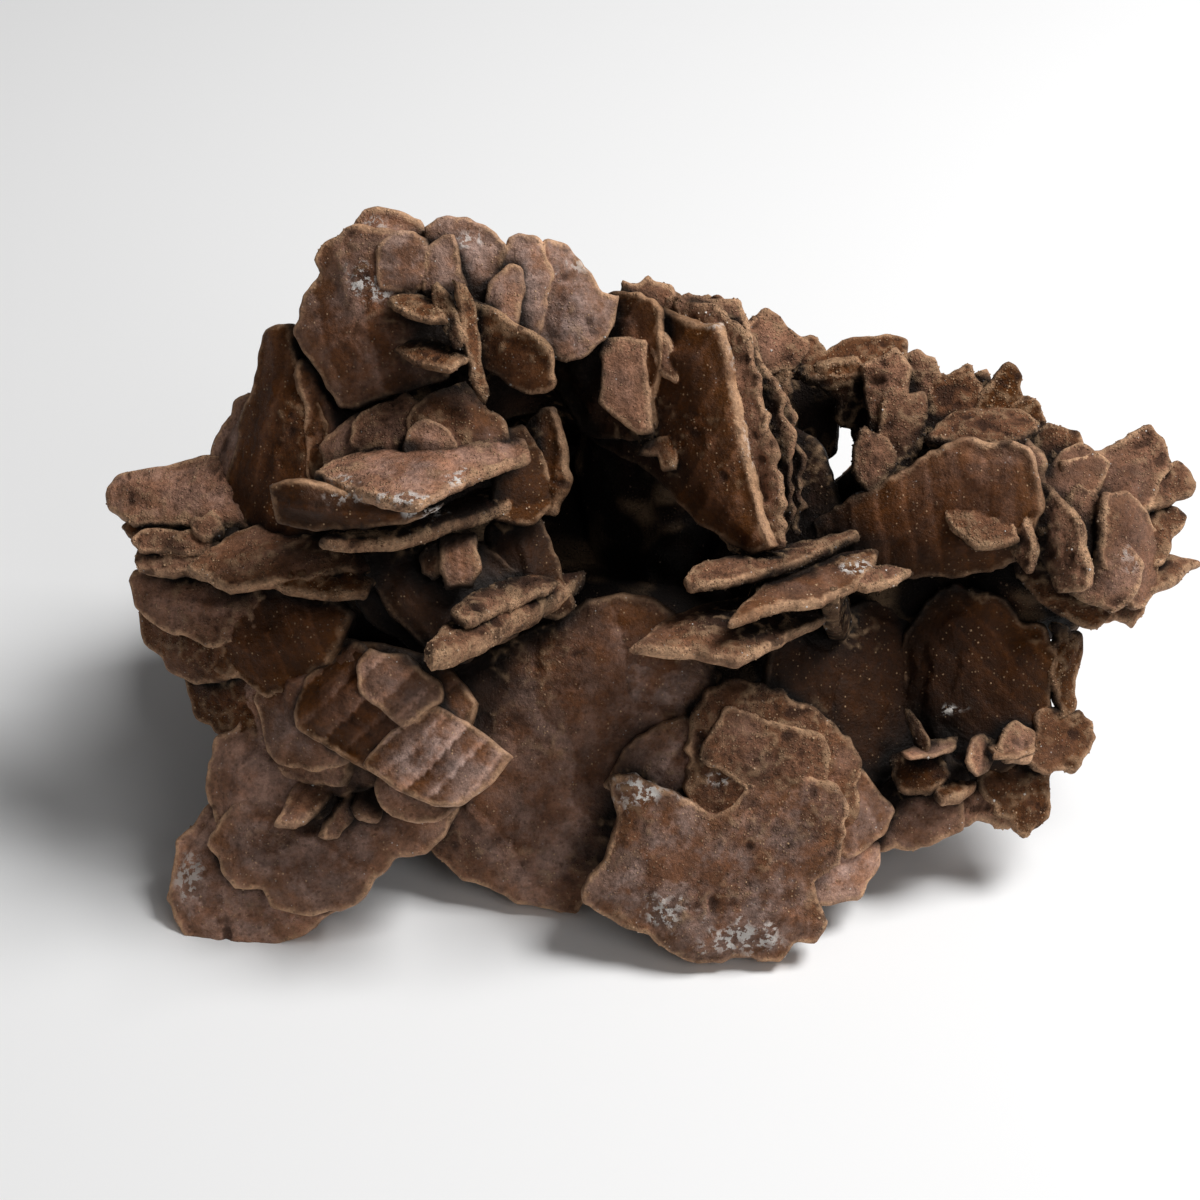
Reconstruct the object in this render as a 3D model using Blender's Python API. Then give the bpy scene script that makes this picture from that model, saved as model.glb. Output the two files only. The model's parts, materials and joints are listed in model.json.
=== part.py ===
"""A gypsum sand rose: lens-shaped crystal blades grown through each other into one solid.

Every visible blade has an outline in millimetres on the sight plane, a plane square to the view from
the front at VIEW_PITCH. The outline is set back along the sight rays to the plane the blade lies in,
and gets a lens section there: a sharp rim, and a flat face on each side. The back is grown by rule.
"""
import math
import random

import bmesh
import bpy
import mathutils
from mathutils import Vector

MM = 0.001
ROSE = "sand_rose"

# The view that the outlines belong to
VIEW_PITCH = math.radians(40)
VIEW_DISTANCE = 365.0
VIEW_TARGET = Vector((0.0, 0.0, 40.0))
RIGHT = Vector((1.0, 0.0, 0.0))
UP = Vector((0.0, math.sin(VIEW_PITCH), math.cos(VIEW_PITCH)))
FORWARD = Vector((0.0, math.cos(VIEW_PITCH), -math.sin(VIEW_PITCH)))
EYE = VIEW_TARGET - FORWARD * VIEW_DISTANCE

# Section of a blade: how far the flat faces stop short of the rim
FACE_SHARE = 0.84
# A point of an outline is kept if it stands this far off its neighbours' line, in mm
LEAST_STAND = 0.95
MERGE_MM = 0.02
FLAT_ANGLE = math.radians(0.2)

# Blades: name, depth behind the sight plane, turn to the right, tip upwards, thickness, outline
CROWN = [
    ("crown plate", -9, -10, -6, 6.0,
     [(-35.3, 50), (-38.8, 47.3), (-37.9, 44.7), (-39.5, 40.6), (-41.4, 36.5), (-38.3, 29.5),
      (-33.5, 25.7), (-24, 22), (-13, 27), (-13, 38), (-18, 46), (-30, 51)]),
    ("crown tip", -6.5, -10, -6, 5.0,
     [(-37, 45), (-34.7, 50.1), (-32.8, 52), (-28, 52.9), (-24.5, 51.4), (-21, 44), (-30, 40)]),
    ("crown lobe left", -12, -10, -6, 3.0,
     [(-30.3, 47.8), (-28.5, 49.5), (-26.5, 50), (-24, 48.8), (-23.5, 42), (-30.3, 42)]),
    ("crown lobe right", -11, -10, -6, 3.0,
     [(-24.3, 47), (-21.5, 49.6), (-20, 49), (-18.5, 46), (-20, 39), (-24.5, 40)]),
    ("crown ridge", -8, 0, -6, 5.0,
     [(-26, 49.5), (-24, 51.3), (-17.5, 51.4), (-15, 50.7), (-12.8, 48.6), (-14, 40), (-24, 40)]),
    ("shoulder upper", -8, 8, -6, 4.5,
     [(-16, 46), (-12.4, 49), (-11, 49.3), (-8.3, 48.5), (-6, 43), (-8, 33), (-15, 34)]),
    ("shoulder lower", -4.5, 12, -6, 4.5,
     [(-10.2, 46), (-8, 48.7), (-5, 48.4), (-3, 46.9), (0, 43.3), (2.8, 41.3), (-1, 33), (-9, 31)]),
    ("pale plate", -11.5, 0, 0, 3.0,
     [(-15.7, 41.2), (-14.5, 43), (-13, 44.7), (-11.7, 45.2), (-10.6, 44.7), (-9.5, 41), (-10.5, 34),
      (-15, 35)]),
    ("leaf high", -14.5, 0, 60, 2.4,
     [(-28.8, 40), (-27, 41), (-24, 40.8), (-21.5, 39.4), (-22.5, 38), (-27, 38.6)]),
    ("leaf low", -14.5, 0, 58, 2.4,
     [(-28.1, 33.6), (-25.5, 35), (-23, 35.3), (-20.5, 34.3), (-18, 32.2), (-21, 31.2), (-25, 32)]),
    ("leaf upright", -14, 52, 5, 2.4,
     [(-23.4, 41), (-22.8, 43.2), (-21.5, 43), (-19.8, 40.5), (-18.5, 36), (-18.8, 33.5), (-21, 35),
      (-22.5, 38.5)]),
    ("leaf long", -13.5, -58, 0, 2.4,
     [(-18.3, 40.4), (-17.2, 40.8), (-16, 36.5), (-15.3, 31), (-15, 28), (-16, 26), (-17.5, 28),
      (-18, 34)]),
    ("leaf slanted", -11, 28, 18, 3.2,
     [(-17.2, 40.7), (-15.3, 40.3), (-11, 37.3), (-6, 33.5), (-6, 29), (-9, 26.5), (-14.5, 27),
      (-16.5, 33)]),
]

UNDER_CROWN = [
    ("row left", -8, -15, 10, 3.5,
     [(-38, 20), (-37, 22.3), (-35, 24), (-32, 25.6), (-29, 23), (-29, 18), (-36, 17)]),
    ("row middle", -10, -8, 12, 4.0,
     [(-33.8, 21.5), (-33.2, 24), (-32.3, 25.1), (-30, 26.3), (-26, 27.9), (-23.5, 26.5), (-23.5, 19),
      (-31, 18)]),
    ("row right", -10.5, 8, 12, 4.0,
     [(-26.3, 24.5), (-24, 27.5), (-20.8, 28.6), (-18.3, 29.3), (-15, 25.7), (-12.5, 24), (-11.5, 18),
      (-19, 16), (-26, 18)]),
]

UPPER_LEFT = [
    ("tall blade", -2, -28, -2, 5.0,
     [(-44.6, 36.5), (-43.3, 37.5), (-41.4, 37.2), (-40, 33), (-36, 24), (-35, 14), (-40, 6),
      (-48, 7), (-50.5, 13), (-49, 20), (-47.3, 27)]),
    ("tall blade inner", -5, 14, 0, 4.0,
     [(-41.9, 30.5), (-40.3, 32.7), (-37, 31), (-32, 26), (-31, 16), (-38, 13), (-40.2, 17),
      (-40, 25)]),
    ("outer strip", 3, -30, 0, 4.0,
     [(-52.5, 18), (-52.2, 21), (-50.8, 23.6), (-49.2, 24.8), (-48.9, 26.8), (-47.2, 28.4),
      (-43, 24), (-43, 10), (-50, 8), (-52.7, 12)]),
]

LEFT_STACK = [
    ("stack top", 4, -10, 22, 4.5,
     [(-67, 13.9), (-66, 15.9), (-64.8, 16.8), (-61, 17.7), (-55, 19.1), (-49, 19.5), (-43, 15),
      (-45, 9), (-56, 9.3), (-64, 10.3), (-66.3, 12)]),
    ("stack second", 2.5, -8, 30, 3.5,
     [(-65, 9.8), (-63.7, 8), (-61, 6.6), (-52, 5.6), (-44, 7), (-46, 13), (-61, 12.4)]),
    ("stack third", 0.5, -8, 26, 3.5,
     [(-63.3, 5), (-62.6, 7), (-59, 8.3), (-56, 9.4), (-49, 9.5), (-43, 6), (-46, 2), (-56, 3),
      (-62.5, 3.5)]),
    ("stack lump", -1.5, 0, 20, 4.0,
     [(-55.7, 10), (-54, 12.4), (-51.5, 12.2), (-49.5, 10), (-50.5, 7.5), (-54, 7.5)]),
    ("stack plate", 2, -18, 4, 4.5,
     [(-63.5, 2.5), (-62.5, 4.2), (-56, 4.6), (-50, 4), (-43, 1), (-45, -5), (-53, -6.4),
      (-57.5, -5.2), (-60, -3.7), (-62.2, -1.8)]),
    ("lower strip", 5, -30, 0, 3.5,
     [(-62.2, -1.2), (-61.4, -6), (-59, -8.2), (-57, -10), (-54.5, -11.6), (-50, -11), (-45, -6),
      (-50, 2), (-58, 1)]),
    ("lower strip foot", 5, -26, 0, 3.5,
     [(-55.7, -10), (-55, -13), (-54.3, -16.2), (-51.8, -18), (-49, -18.7), (-43, -18), (-40, -10),
      (-49, -5)]),
    ("tongue", -5, -8, 42, 3.0,
     [(-56.2, 4.1), (-53, 6.6), (-50.5, 8.1), (-48, 9.4), (-45, 10.1), (-41, 9.8), (-33, 7.8),
      (-31, 4), (-42, 2), (-50, 1.3)]),
    ("tongue leaf", -8, -5, 36, 2.8,
     [(-48.8, 4.6), (-46, 5.3), (-39, 5.5), (-34, 4.5), (-30, 2.5), (-32, 0), (-38, 0), (-43, 1)]),
]

LEFT_SCALLOPS = [
    ("scallop top", 0, -22, 0, 5.0,
     [(-54.2, 1), (-55.2, -3.5), (-53.5, -7.2), (-51, -9.9), (-48, -10.9), (-44, -13), (-36, -9),
      (-33, -2), (-38, 4), (-48, 4)]),
    ("scallop middle", -1, -22, 0, 5.0,
     [(-46.4, -13.5), (-45.2, -9), (-43.5, -6.4), (-39, -4.5), (-32, -5), (-28, -12), (-31, -21),
      (-38, -23.2), (-43, -22.3), (-44.9, -20.5), (-45.5, -16.5)]),
    ("scallop behind", 2, -22, 0, 4.5,
     [(-49, -10), (-48.2, -14), (-47.5, -17), (-47.7, -18.6), (-46.3, -21.9), (-43, -23.3),
      (-40.5, -24.9), (-34, -25), (-31, -14), (-38, -5), (-46, -6)]),
    ("scallop foot", 0, -10, 0, 4.0,
     [(-41.2, -22), (-39, -25.7), (-37.5, -26.4), (-34, -26.3), (-30, -25), (-25, -19), (-33, -13),
      (-40, -15)]),
]

LOWER_LEFT = [
    ("foot small", 4, -12, -4, 4.5,
     [(-52.3, -18.5), (-50, -17.2), (-45, -15), (-37, -19), (-35, -28), (-41, -31.5), (-46, -31.3),
      (-50, -32.5), (-51.6, -31.2), (-52.9, -28), (-53, -24)]),
    ("foot back sheet", 7.5, -6, 0, 4.5,
     [(-52.7, -27), (-55, -30.2), (-57, -32.3), (-57.9, -35), (-58.3, -40.8), (-57.4, -43.6),
      (-55.5, -45.4), (-50, -47.3), (-44.3, -47.2), (-39.5, -45.1), (-33, -40), (-29, -30),
      (-41, -22)]),
    ("foot front sheet", 3.5, -3, 2, 4.5,
     [(-53.5, -33), (-51.6, -36), (-50.5, -38.1), (-49.3, -39.2), (-45.5, -38.9), (-44.4, -41.8),
      (-38, -42.8), (-33, -41.2), (-30, -38.2), (-27.5, -35.7), (-22, -33.2), (-19, -27),
      (-28, -19), (-42, -22), (-50, -27)]),
    ("notch leaf left", -1, 0, 40, 2.2,
     [(-44, -30.4), (-43, -28), (-41, -25), (-37, -24), (-36, -27), (-41, -31)]),
    ("notch leaf middle", -1, 40, 0, 2.2,
     [(-38.2, -32.2), (-37.5, -30), (-34.5, -26), (-32.5, -27), (-33.5, -30), (-35.5, -32.5)]),
]

PENTAGON = [
    ("pentagon plate", -5, -8, 8, 5.0,
     [(-41.4, -15), (-39.6, -10.3), (-36, -7.8), (-33, -5.3), (-29, -5.8), (-21, -8), (-16, -14),
      (-19, -22), (-27, -25.3), (-31.8, -22.9), (-37, -20.1), (-41, -17.3)]),
    ("pentagon top sheet", -9.4, -8, 8, 3.0,
     [(-32, -22.7), (-31, -20.5), (-28, -17), (-22, -13.7), (-16, -16), (-11.3, -20.5),
      (-12.5, -23), (-16, -26.1), (-20.3, -28.4), (-24, -27.5), (-30.5, -24.1)]),
    ("pentagon small plate", -7.3, -8, 8, 3.0,
     [(-32.2, -7.5), (-33.2, -11.5), (-32.8, -14), (-30.3, -15.2), (-26, -18), (-20, -14),
      (-21, -9.5), (-27, -6.8), (-30, -5.5)]),
    ("pentagon lower tip", -5.4, -8, 8, 4.0,
     [(-30.4, -25), (-30.2, -27.2), (-28.3, -29.6), (-25, -30.5), (-22, -30), (-17, -26),
      (-18, -19), (-28, -18)]),
]

MIDDLE = [
    ("big lens", -13, -5, 62, 5.5,
     [(-45, 14.8), (-40, 16.6), (-35, 18.4), (-29, 20.6), (-22, 21.2), (-14, 20.6), (-10, 19.6),
      (-8.6, 17.4), (-12, 16), (-20, 15.2), (-27, 12.8), (-33, 11.8), (-39, 10.8), (-44, 12.2)]),
    ("thin lens", -12, -5, 64, 3.0,
     [(-38, 7.5), (-35, 9.5), (-28, 10.6), (-22, 11.8), (-17, 14.2), (-11, 15), (-9.6, 14),
      (-12, 12.5), (-16, 10.9), (-20, 9.8), (-23, 8.4), (-28, 7), (-34, 6.8)]),
    ("square blade", -8, 5, 8, 2.8,
     [(-24.4, 6), (-22, 8.1), (-19, 9.1), (-16.6, 8.9), (-16, 4.5), (-17, 1.5), (-21, 0),
      (-24, 1.5)]),
    ("grey plate", -5, 8, 0, 4.0,
     [(-33, 5.7), (-30.5, 7.2), (-25, 8.5), (-16, 8), (-9, 2), (-11, -5), (-22, -8), (-26, -4.2),
      (-28.7, -2.3), (-30.8, 1.8), (-31.8, 3.2)]),
    ("grey plate behind", -2.5, 8, 0, 3.5,
     [(-32.8, 5), (-33.1, -0.6), (-31, -2.9), (-28, -5.1), (-25, -7), (-18, -9), (-14, -3),
      (-18, 6)]),
    ("centre strip", -7, 22, 0, 3.5,
     [(-14.5, 22), (-13, 23.2), (-10.5, 23.7), (-8, 20), (-6, 14), (-9, 10), (-14.5, 11)]),
    ("centre point", -4.5, -32, 0, 3.0,
     [(-10.4, 23), (-8.5, 25.7), (-6, 26.3), (-4.5, 21), (-4, 16), (-6, 11), (-10, 13)]),
    ("centre slab", -1, 15, 0, 5.5,
     [(-15.5, 10), (-12, 13.2), (-8, 15.8), (-4, 16.2), (1, 12), (3, 6), (2, 0), (-5, -3),
      (-13, -1), (-15, 5)]),
    ("sandy lens", -8, 18, 57, 3.6,
     [(-23.8, -6.8), (-20, -2.9), (-17.8, -0.5), (-15, 1), (-11, 1.8), (-2.4, 3.1), (-1.8, 2.2),
      (-5, 0), (-9, -2.6), (-15, -6), (-20, -8.1), (-22.8, -8.7)]),
    ("sandy lens sheet", -9.5, 18, 59, 2.4,
     [(-20.5, -1.8), (-17, 0.9), (-13, 2.4), (-9, 2.9), (-5.5, 2), (-9, 0), (-14, -2), (-18, -3.6)]),
]

WALL = [
    ("wall slab", -3, -35, -5, 5.5,
     [(-5, 40), (-3, 41), (5, 41.5), (8, 39.8), (14, 37.5), (16.5, 37.6), (18, 34), (19.2, 27.5),
      (20.7, 19), (22.2, 12), (24.2, 7.2), (21, 6), (14, 10), (7, 17.5), (-2, 22), (-6.2, 29),
      (-6.2, 34)]),
    ("wall lobe", -1.1, -35, -5, 3.0,
     [(-5, 40.2), (-2, 41.2), (5.2, 41.6), (8.4, 39.5), (9, 33), (7, 22), (-1, 22), (-3.7, 25),
      (-6.3, 29), (-6.3, 35)]),
    ("wall square", -3.8, -35, -5, 2.6,
     [(0.3, 35.3), (3.3, 36), (5.7, 35.6), (6.7, 30), (8.2, 22.2), (5.5, 21.8), (1.8, 24),
      (-0.8, 26.5), (-0.1, 30)]),
    ("wall chip high", -6.5, -20, 0, 2.8,
     [(6.6, 36), (8.6, 36.2), (10.7, 33.7), (11.4, 30.8), (10.8, 29), (8.6, 29.8), (7, 33)]),
    ("page first", -6.9, -35, -5, 2.6,
     [(4, 40), (10, 41), (16, 39.6), (20, 36.5), (21.3, 33), (22.7, 27), (24.2, 19), (25.2, 12),
      (24.7, 6.8), (18, 6), (10, 20)]),
    ("page second", -4.6, -35, -5, 2.4,
     [(8, 40), (16, 41), (19.7, 38.2), (21.6, 34.8), (23.2, 30), (25.2, 26), (26.7, 22),
      (26.7, 15), (25.7, 7.8), (20, 8), (12, 25)]),
    ("page third", -2.4, -35, -5, 2.4,
     [(12, 41), (18, 40.9), (21.9, 34), (24.4, 28.5), (26.7, 23.5), (27.5, 20), (28, 16),
      (27.7, 12.5), (26.7, 8.9), (21, 10), (14, 28)]),
    ("top crumb left", -2, 0, 0, 3.0,
     [(2.5, 41), (3, 43.1), (4.6, 42.9), (6.5, 43.9), (7.3, 43.2), (9.7, 42.8), (11, 39), (4, 37)]),
    ("top crumb right", -4, 0, 0, 3.0,
     [(10, 40), (12, 42), (14.5, 41), (18, 41), (19.4, 40.4), (20, 36), (12, 36)]),
]

THIN_BLADES = [
    ("thin blade high", -8, 5, 62, 2.4,
     [(11, 2.6), (12.5, 4.1), (17, 5.4), (24, 6.8), (30, 8.1), (34, 9), (34.8, 8.2), (32, 6.6),
      (28, 4.8), (24, 3.5), (17, 2), (12, 1.5)]),
    ("thin blade middle", -10, 5, 60, 2.6,
     [(17.3, -3.5), (20, -0.2), (23, 2.2), (28, 4), (33, 6), (37.5, 6.3), (37, 3.6), (34, 1),
      (30, -0.8), (25, -1.2), (21, -2.6)]),
    ("thin blade low", -10, 8, 58, 3.0,
     [(3.6, -7), (7, -4.6), (10, -2.5), (15, -1), (20, 0), (26, 0), (32, -1), (30.5, -2.8),
      (26, -5.2), (22, -7.4), (18.5, -8.8), (12, -7.7)]),
]

FRONT = [
    ("front plate", 6, -4, -10, 5.5,
     [(-21.7, -9.2), (-14, -5.8), (-6, -2), (-2, 0), (3, 1.1), (6.4, 1), (11, -2), (16, -10),
      (14, -18), (7, -25), (4, -32), (0, -38), (-3, -42.2), (-11.2, -41.2),
      (-15, -38.8), (-18.5, -37.7), (-23, -33.5), (-26, -30), (-26, -20)]),
    ("front ledge", 1.5, -4, -10, 3.0,
     [(5, -6), (10, -6.8), (14.5, -7.6), (17.2, -10.4), (13, -15), (7, -17.2), (2, -15), (1, -9)]),
    ("front smooth lobe", 2, -6, -6, 4.0,
     [(4.6, -18), (9, -16.1), (12.2, -15), (17, -20), (16, -30), (6, -30), (0.5, -25), (3, -20)]),
    ("front lobe", 1.5, 2, -6, 5.5,
     [(1.4, -24), (5, -23.2), (12, -26.8), (15.5, -28.8), (18, -26.8), (20, -24.1), (25.5, -24),
      (27.5, -22.8), (32, -24.8), (33.6, -28), (33, -33), (32.6, -36), (29.2, -38), (29.6, -40.3),
      (31, -43.3), (29, -46.1), (26.2, -46.3), (24.3, -48.7), (18.2, -48.5), (13, -49.2),
      (8, -46.7), (3, -44), (-2.6, -41), (-1.9, -37), (0.1, -35), (2.3, -29.5)]),
    ("front cap", 0, 6, -4, 5.5,
     [(12, -15.8), (13.5, -13.3), (15, -11.5), (19, -10.4), (23, -11.6), (29, -14.6), (34, -18),
      (35.4, -22), (35.6, -25), (35, -31), (30, -37), (20, -36), (11.6, -29), (11.5, -22)]),
    ("front cap ledge", -2.4, 6, -4, 2.6,
     [(17, -14.6), (22, -15.8), (27, -17), (30, -18.4), (31.5, -21), (28, -26), (18, -26),
      (13.5, -20)]),
    ("front lobe right", 4, 18, 0, 4.0,
     [(33, -21), (35.6, -22.8), (38.7, -26.4), (39.9, -28.5), (37.8, -31.8), (33, -35), (27, -28)]),
    ("front lobe low", 5, 18, 0, 4.0,
     [(30, -30), (33.3, -30.5), (37.7, -32.3), (38.2, -34.2), (35.9, -38.3), (34.7, -40.7),
      (30.7, -41.6), (24, -40), (24, -33)]),
]

RIGHT_HOLLOW = [
    ("right dark plate", 8, -10, -4, 4.5,
     [(44, 0), (46, 1.7), (48, 2.4), (52.5, 1.5), (55, 0.2), (57, -2.8), (60, -3.3), (62.4, -8),
      (61.5, -13), (60, -20), (52, -25), (43, -24), (40, -14), (41, -4)]),
    ("right inner plate", 10, 24, 0, 4.0,
     [(35, 0), (41, 0), (45, -5), (46, -15), (43, -26), (33, -28), (27, -18), (29, -6)]),
    ("right far plate", 8, 34, 0, 3.5,
     [(24, 0), (30, -1.5), (37, 0), (39, -3), (39, -10), (35, -20), (28, -24), (22, -14)]),
    ("rim upper", 7, 30, 0, 3.5,
     [(58, -3), (61, -3.2), (64.2, -4.4), (65, -8.8), (64, -10.2), (63.9, -15.4), (59, -19),
      (55, -12)]),
    ("rim right", 7, 20, 4, 3.5,
     [(58, -14), (63.5, -14.6), (66.1, -16.1), (67.5, -18.7), (65, -22.5), (61.3, -23.9),
      (55, -24), (54, -18)]),
    ("rim upright", 9, 10, 0, 3.5,
     [(56, -20), (61.6, -22.4), (61.5, -24), (60.8, -28.7), (58, -32.9), (56.8, -32.8),
      (53, -29), (51, -24)]),
    ("base left", 8, -10, 4, 4.5,
     [(37, -25), (40.5, -23), (46, -20), (50, -24), (49, -31), (45, -33.4), (42, -34), (37.8, -34),
      (34, -31)]),
    ("base right", 9.5, 5, 4, 4.5,
     [(44, -23), (50, -22), (56, -22), (58, -27), (55.2, -31.2), (53, -30.1), (50, -31.1),
      (47.5, -31.4), (42, -31)]),
    ("hollow ledge", 4.5, 0, 48, 2.4,
     [(38.3, -22.5), (40, -20.5), (45, -20.5), (48, -18.8), (51, -20), (48, -23), (42, -24.4)]),
]

RIGHT_MIDDLE = [
    ("right plate front", 1, -26, -8, 4.5,
     [(28.5, 10.4), (31.4, 14.3), (34.5, 16.1), (37.5, 17.2), (41.5, 18.2), (45.2, 17.8),
      (46.9, 16), (49, 9), (50, 1), (46, -4), (38, -5), (31, 0), (27, 6)]),
    ("right plate behind", 5, -14, -4, 4.5,
     [(39, 17.4), (43, 20.2), (48, 21.7), (54, 22.7), (57.7, 22), (60, 20.3), (60.4, 17),
      (61, 9), (56, 0), (46, -1), (41, 8)]),
]

SPRAY = [
    ("spray leaf first", -1, -10, 30, 2.8,
     [(46, 13), (47.5, 14), (49.5, 14.2), (52, 13.5), (56, 11), (57, 8), (50.8, 6.6), (47.5, 9.5)]),
    ("spray leaf second", -1, -50, 0, 2.6,
     [(52.8, 16.2), (53.8, 17.4), (55.5, 15.7), (57.7, 11.5), (59.1, 7.5), (58, 3.5), (55.3, 7),
      (53, 12)]),
    ("spray leaf third", -1.5, -38, 0, 3.2,
     [(56.8, 14.8), (57.4, 16.9), (60.5, 15.8), (64.2, 12.8), (65.6, 9.5), (66.7, 4), (66.3, 1.5),
      (62, 1), (58.5, 7)]),
    ("spray sugar leaf", 1, -5, 5, 3.6,
     [(63.3, 14.8), (64.3, 16.1), (67, 14.7), (70.2, 10), (73.7, 4.5), (71.7, 0), (69, -2),
      (63, 1), (61, 9)]),
    ("spray curved rim", 3, 40, 0, 3.2,
     [(68, 14.5), (70.8, 15), (73.2, 12.4), (75.2, 8), (75.2, 5), (74.8, 0.8), (72, -1.5),
      (67, 6)]),
    ("spray orange leaf", 5, 0, 0, 3.6,
     [(56, 3), (59, 0.3), (61.5, -2), (65, -3.7), (67, -3.8), (71, -1), (72, 5), (64, 9),
      (56, 8)]),
    ("spray foot", 6, 10, 0, 3.2,
     [(66, -2), (68.5, -3.2), (71, -3.2), (71.9, -4), (74.2, -0.5), (75.2, 2), (72, 7), (65, 5)]),
    ("spray spike", 7, 10, 40, 2.8,
     [(69, 2), (75, 0.6), (81.3, 4.7), (76.6, 6.1), (72, 6.5)]),
    ("spray small leaf", 6.5, 15, 20, 3.0,
     [(70, 9), (73, 12), (75, 13.3), (77.7, 12.8), (79.7, 11), (77.5, 8), (76, 4.6), (71, 4)]),
    ("spray far leaf", 8, 10, 30, 3.0,
     [(71, 11), (80, 14), (80.6, 15.5), (78.6, 18.1), (77, 18.4), (71, 17)]),
    ("spray wedge", 5.5, 10, 5, 4.0,
     [(62, 19), (68, 20.7), (71.5, 22.8), (74.4, 23.8), (76, 21.5), (77.2, 18), (75, 13),
      (71, 8), (62, 11)]),
    ("spray upper leaf", 4, -5, 20, 3.2,
     [(58, 16), (61, 19), (62.5, 20.6), (65, 21.1), (69.5, 18.5), (66, 11), (59, 11)]),
    ("spray knob", 8, 0, 10, 3.6,
     [(54, 20), (58.5, 23), (60.3, 24.1), (62.5, 23.4), (64.7, 22.6), (65.5, 20.4), (62, 15),
      (54, 15)]),
]

TOP_RIGHT = [
    ("dark plate behind", 11, 10, -20, 3.5,
     [(29.4, 32), (35, 33), (38, 28), (39, 20), (40, 12), (35, 11), (34.4, 17), (34, 23),
      (31.6, 24.4), (31.6, 27), (28.7, 28.8)]),
    ("pillar", 6, -8, 0, 4.5,
     [(35, 32), (40, 33.9), (42.6, 31.2), (42, 28), (42, 20), (39, 14), (35.6, 17), (36.1, 26),
      (35.2, 28.5)]),
    ("pillar block", 5.5, 12, 0, 4.0,
     [(38, 28), (43.8, 28.1), (44.3, 25.5), (43.6, 20), (40, 16), (36.8, 22)]),
    ("knob", 3.5, 0, 0, 4.5,
     [(33.9, 20), (34.3, 22.6), (36, 23.9), (39.2, 22), (40, 17), (37, 13), (34.2, 17)]),
    ("top slab", 9, 0, 35, 3.2,
     [(30, 33.6), (33, 35.1), (38.5, 36), (41.6, 34.9), (42, 32), (36, 30), (28.6, 29.3),
      (26.3, 30.8)]),
    ("crumb first", 6, 20, 0, 3.2,
     [(18, 37), (20.5, 38.6), (22.5, 39.5), (24.3, 38.5), (27.9, 34.8), (26.5, 31), (20, 30)]),
    ("crumb second", 8.5, 10, 10, 3.0,
     [(24, 34.5), (26.5, 35.6), (28.5, 35.8), (31, 33), (29, 29.4), (24, 30.5)]),
    ("crumb third", 7, -10, 0, 3.5,
     [(19, 35), (24.9, 35.9), (26.4, 30.5), (25.3, 26), (27, 20), (23, 16), (18, 26)]),
    ("crumb fourth", 9, 0, 0, 3.4,
     [(40.5, 32), (41.5, 33.4), (43, 33.7), (45.5, 32.3), (46.6, 30.5), (45, 25), (40, 26)]),
    ("crumb plate", 9, 0, 8, 3.8,
     [(43.5, 29.5), (46.3, 30.9), (48.5, 31.2), (50, 31.4), (52.5, 28), (55, 26), (52, 20),
      (44, 21), (42, 26)]),
    ("pointed leaf", 8.5, 10, 0, 3.4,
     [(51.4, 27.6), (54, 31.2), (55.2, 32.5), (57, 30.4), (57.4, 28.2), (58, 21), (52, 20),
      (50, 25)]),
    ("end leaf", 9, 15, 0, 3.4,
     [(55, 27), (58.3, 28), (60.5, 24.3), (61, 18), (55, 18), (53, 23)]),
    ("edge-on leaf", 4.5, 0, 50, 3.2,
     [(44, 21.4), (46.4, 24.3), (51, 25.6), (56.8, 25.2), (59.1, 23.4), (57.5, 21), (50, 20)]),
    ("hollow wall right", 12, -20, 0, 4.0,
     [(38, 24), (46, 28), (54, 25), (58, 16), (52, 8), (42, 8), (37, 14)]),
    ("hollow wall middle", 9.5, -30, 0, 4.0,
     [(19, 22), (25, 24), (30, 21), (32.4, 15), (33, 6), (26, 0), (18, 4)]),
]

TRACED = (CROWN + UNDER_CROWN + UPPER_LEFT + LEFT_STACK + LEFT_SCALLOPS + LOWER_LEFT + PENTAGON + MIDDLE
          + WALL + THIN_BLADES + FRONT + RIGHT_HOLLOW + RIGHT_MIDDLE + SPRAY + TOP_RIGHT)

# The sandy heart that all blades root in: centre and radii of each lump, in millimetres
HEART = [
    ((-8, 14, 14), (36, 20, 17)),
    ((-30, 19, 38), (16, 13, 26)),
    ((41, 17, 24), (22, 12, 17)),
    ((0, 32, 22), (30, 13, 19)),
    ((-39, 6, 12), (14, 14, 14)),
    ((60, 11, 33), (9, 7, 9)),
    ((8, 26, 38), (11, 10, 26)),
]

# Ribs stand edge-on to the view behind the blades and tie them to the heart:
# start and end as (u, v, depth), and the width
RIBS = [
    ((-26, 36, -9), (-27, 24, 20), 12),
    ((-27, 15, -14), (-28, 12, 12), 8),
    ((22, 2, -9), (22, -6, 26), 10),
    ((8, 28, -4), (8, 20, 30), 14),
    ((-50, 8, -1), (-40, 4, 22), 12),
    ((-44, -34, 4), (-34, -22, 22), 10),
    ((18, -30, 2), (10, -20, 20), 14),
    ((54, -14, 9), (46, -8, 24), 12),
    ((68, 8, 3), (56, 4, 24), 12),
    ((52, 26, 9), (46, 12, 30), 10),
    ((-22, 2, -7), (-22, 2, 14), 8),
    ((31, 1, -11), (33, -5, 22), 8),
]

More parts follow.
